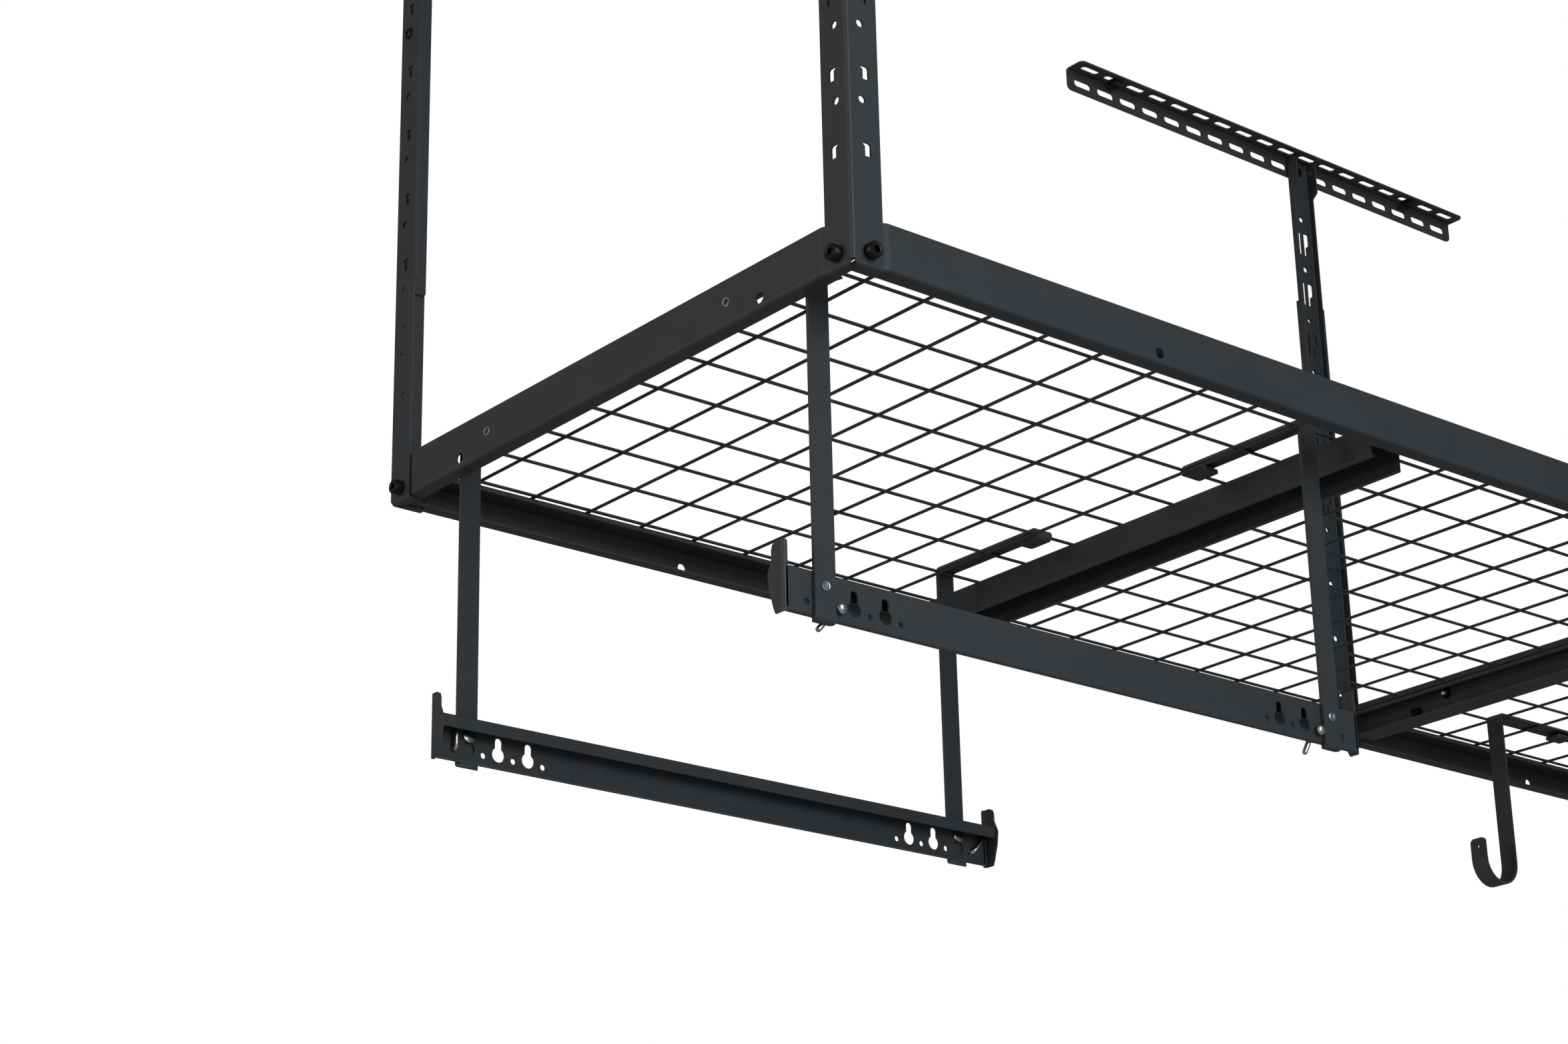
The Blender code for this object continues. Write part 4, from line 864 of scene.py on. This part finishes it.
tails = {("near", "left"): -42, ("near", "right"): -30, ("far", "left"): 180, ("far", "right"): 138}
for side_name, side in SIDES:
    strap_outer = max(abs(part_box(f"strap_{side_name}_left")[n].y - deck_middle) for n in (0, 1))
    for (end_name, end), x in zip(ENDS, strap_xs):
        where = f"{side_name}_{end_name}"
        cad = f"strap_{where}"
        low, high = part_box(cad)
        pin_way = end * side
        bottom = rail_low - 0.0003 - strap_t
        t = strap_t
        arm_top = high.z
        low_back = wire_plane - 0.0003
        reach = strap_outer - (1.5 * pitch_y - wire / 2 - 0.0003 - t)
        place = ((0, deck_middle + side * strap_outer, 0), (1, 0, 0), (0, -side, 0), (0, 0, 1))
        profile = [(0.0066, bottom + t / 2), (t / 2, bottom + t / 2), (t / 2, arm_top - t / 2),
                   (reach - t / 2, arm_top - t / 2), (reach - t / 2, low_back - t / 2),
                   (reach - 0.027, low_back - t / 2)]
        span = sorted((x - pin_way * strap_half, x + pin_way * foot_wide))
        edge = x + pin_way * strap_half
        beyond = x + pin_way * 0.024
        up = 0.0006 + 0.0018 + 0.024
        waste = [(edge, up + 0.004), (edge + pin_way * 0.0012, up + 0.0012), (edge + pin_way * 0.004, up),
                 (x + pin_way * 0.018, up), (x + pin_way * 0.0215, up - 0.0014),
                 (x + pin_way * foot_wide, up - 0.005),
                 (beyond, up - 0.005)]
        cuts = [(1, waste + [(beyond, 0.6), (edge, 0.6)]),
                (1, [(edge, -0.001), (beyond, -0.001), (beyond, 0.0095), (x + pin_way * foot_wide, 0.0095),
                     (x + pin_way * 0.0215, 0.0058), (x + pin_way * 0.018, 0.0044), (edge, 0.0044)])]
        for leg in (0, 2, 3, 4):
            cuts.append((leg, [(edge, -0.002), (beyond, -0.002), (beyond, 0.6), (edge, 0.6)]))
        cuts.append((0, corner_trim(x + strap_half, 0.0, 1, -1, 0.003)))
        cuts.append((0, corner_trim(x - strap_half, 0.0, -1, -1, 0.003)))
        full = 0.027 - t / 2
        cuts.append((4, corner_trim(x + strap_half, full, 1, 1, 0.003)))
        cuts.append((4, corner_trim(x - strap_half, full, -1, 1, 0.003)))
        parts = [pressed_sheet(profile, [0.0022, 0.0026, 0.0026, 0.0026], t, span, cuts, place)]
        sheet_object(f"bent_{cad}", parts, cad, "deck_frame")

        outer = deck_middle + side * strap_outer
        rivet = [(-0.0004, 0.0010), (-0.0004, 0.0021), (-0.0007, 0.0024), (-0.0012, 0.0027),
                 (-0.0013, 0.0033),
                 (-0.0009, 0.0039), (-0.0003, 0.0040), (-0.00025, 0.0024), (0.0054, 0.0024),
                 (0.00545, 0.0055),
                 (0.0063, 0.0055), (0.0066, 0.0047)]
        hardware(f"headed_stud_{where}", [lathe(rivet, (x, outer, rail_low + 0.0237), (0, -side, 0), 32)],
                 bright_steel,
                 "deck_frame", f"strap_rivet_{where}")

        pin_x, angle = x + pin_way * hole_step, math.radians(tails[side_name, end_name])
        ty, tz = math.sin(angle), -math.cos(angle)
        plane = strap_t + 0.0003 + sheet + 0.0045
        bend, cad = 0.0042, f"latch_lever_{where}"
        box_low, box_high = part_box(cad)
        centre = np.array([pin_x, outer, rail_low + 0.010])
        far = max(abs(box_low.x - pin_x), abs(box_high.x - pin_x), abs(box_low.z - centre[2]),
                  abs(box_high.z - centre[2]))
        tail = max(0.010, min(far / max(abs(ty), abs(tz)), 0.030) - 0.0012)
        dome = [(-0.0028, 0.0009), (-0.0026, 0.0020), (-0.0021, 0.0031), (-0.0014, 0.0040),
                (-0.0008, 0.0044), (-0.0003, 0.0045)]
        path = [(0, d, 0) for d, _ in dome] + [(0, -0.00028, 0), (0, plane - bend, 0)]
        for share in (0.25, 0.5, 0.75, 1.0):
            a = share * math.pi / 2
            out, up_y = bend * (1 - math.cos(a)), plane - bend + bend * math.sin(a)
            path.append((ty * out, up_y, tz * out))
        path += [(ty * (tail - 0.0008), plane, tz * (tail - 0.0008)), (ty * tail, plane, tz * tail)]
        world = [centre + np.array((px, -side * py, pz)) for px, py, pz in path]
        points, faces = bent_rod(world, 0.00225, dome)
        made = mesh_object(f"domed_pin_{where}", points, faces, [bright_steel])
        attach(made, f"lever_{where}_body")
        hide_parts(cad)

# ---- Wire hook --------------------------------------------------------------------------
# A J bent from 19.5 x 2.5 mm flat bar, hung over two cross wires of the inner right deck.
low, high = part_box("wire_hook")
t, hook_half = 0.0025, 0.00975
hook_y = (low.y + high.y) / 2
wire_x = 0.016 + 2 * pitch_x
far_x = wire_x + 2 * pitch_x
clear = wire / 2 + 0.0003 + t / 2
drop_x, bend_x, radius = wire_x - clear, far_x + clear, 0.0246
arm_z, back_z = wire_plane + 0.0003 + t / 2, wire_plane - wire - 0.0003 - t / 2
lowest = low.z + t / 2
profile = [(bend_x - 0.027, back_z), (bend_x, back_z), (bend_x, arm_z), (drop_x, arm_z), (drop_x, lowest),
           (drop_x - 2 * radius, lowest), (drop_x - 2 * radius, lowest + radius + 0.022)]
tip = radius + 0.022
cuts = [(5, corner_trim(hook_y + hook_half, tip, 1, 1, 0.005)),
        (5, corner_trim(hook_y - hook_half, tip, -1, 1, 0.005)),
        (5, ring(hook_y, tip - 0.009, 0.0016)), (0, corner_trim(hook_y + hook_half, 0, 1, -1, 0.003)),
        (0, corner_trim(hook_y - hook_half, 0, -1, -1, 0.003))]
parts = [pressed_sheet(profile, [0.0018, 0.0018, 0.0022, radius, radius], t,
                       (hook_y - hook_half, hook_y + hook_half), cuts,
                       ((0, 0, 0), (0, 1, 0), (1, 0, 0), (0, 0, 1)))]
sheet_object("bent_wire_hook", parts, "wire_hook", "deck_frame")

# ---- Floor, light and camera ------------------------------------------------------------
# A pale room seen from below the rack: large soft lamps, and a floor out of the way.
floor_mesh = bpy.data.meshes.new("floor")
floor_mesh.from_pydata([(-8, -8, -2.4), (8, -8, -2.4), (8, 8, -2.4), (-8, 8, -2.4)], [], [(0, 1, 2, 3)])
floor = bpy.data.objects.new("floor", floor_mesh)
bpy.context.scene.collection.objects.link(floor)
floor_finish, _, floor_shader = material("pale_floor")
floor_shader.inputs["Base Color"].default_value = (0.62, 0.62, 0.62, 1)
floor_shader.inputs["Roughness"].default_value = 0.9
floor_mesh.materials.append(floor_finish)

world = bpy.data.worlds.new("studio")
bpy.context.scene.world = world
world.use_nodes = True
world_tree = world.node_tree
background = world_tree.nodes["Background"]
shown = node(world_tree, "ShaderNodeBackground")
shown.inputs["Color"].default_value = (1, 1, 1, 1)
shown.inputs["Strength"].default_value = 1.0
background.inputs["Color"].default_value = (0.92, 0.96, 1.0, 1)
background.inputs["Strength"].default_value = 0.17
ray = node(world_tree, "ShaderNodeLightPath")
chosen = node(world_tree, "ShaderNodeMixShader")
world_tree.links.new(ray.outputs["Is Camera Ray"], chosen.inputs[0])
world_tree.links.new(background.outputs[0], chosen.inputs[1])
world_tree.links.new(shown.outputs[0], chosen.inputs[2])
world_tree.links.new(chosen.outputs[0], world_tree.nodes["World Output"].inputs["Surface"])


def area_lamp(name, at, aim, size, power, colour):
    """A square area lamp turned from at towards aim."""
    data = bpy.data.lights.new(name, "AREA")
    data.size, data.energy, data.color = size, power, colour
    lamp = bpy.data.objects.new(name, data)
    lamp.location = at
    lamp.rotation_euler = (Vector(aim) - Vector(at)).to_track_quat("-Z", "Y").to_euler()
    bpy.context.scene.collection.objects.link(lamp)


area_lamp("cool_key", (-0.8, -4.2, 0.2), (0, 0, -0.5), 3.0, 104, (0.90, 0.96, 1.0))
area_lamp("warm_side", (-4.6, 0.6, -0.4), (0, 0, -0.4), 2.4, 48, (1.0, 0.93, 0.88))
area_lamp("low_fill", (-1.8, -2.2, -2.3), (0, 0, -0.6), 2.5, 7, (1.0, 1.0, 1.0))

camera_data = bpy.data.cameras.new("camera")
camera_data.lens, camera_data.sensor_width = 73.42, 36.0
camera_data.clip_start, camera_data.clip_end = 0.05, 50
camera = bpy.data.objects.new("camera", camera_data)
right, forward = Vector((0.77328, -0.63374, -0.01996)), Vector((0.59829, 0.71887, 0.35394))
up = right.cross(forward)
turn = Matrix((right, up, -forward)).transposed().to_4x4()
camera.matrix_world = Matrix.Translation((-2.5893, -1.8676, -1.6923)) @ turn
bpy.context.scene.collection.objects.link(camera)
bpy.context.scene.camera = camera
bpy.context.scene.view_settings.view_transform = "Standard"
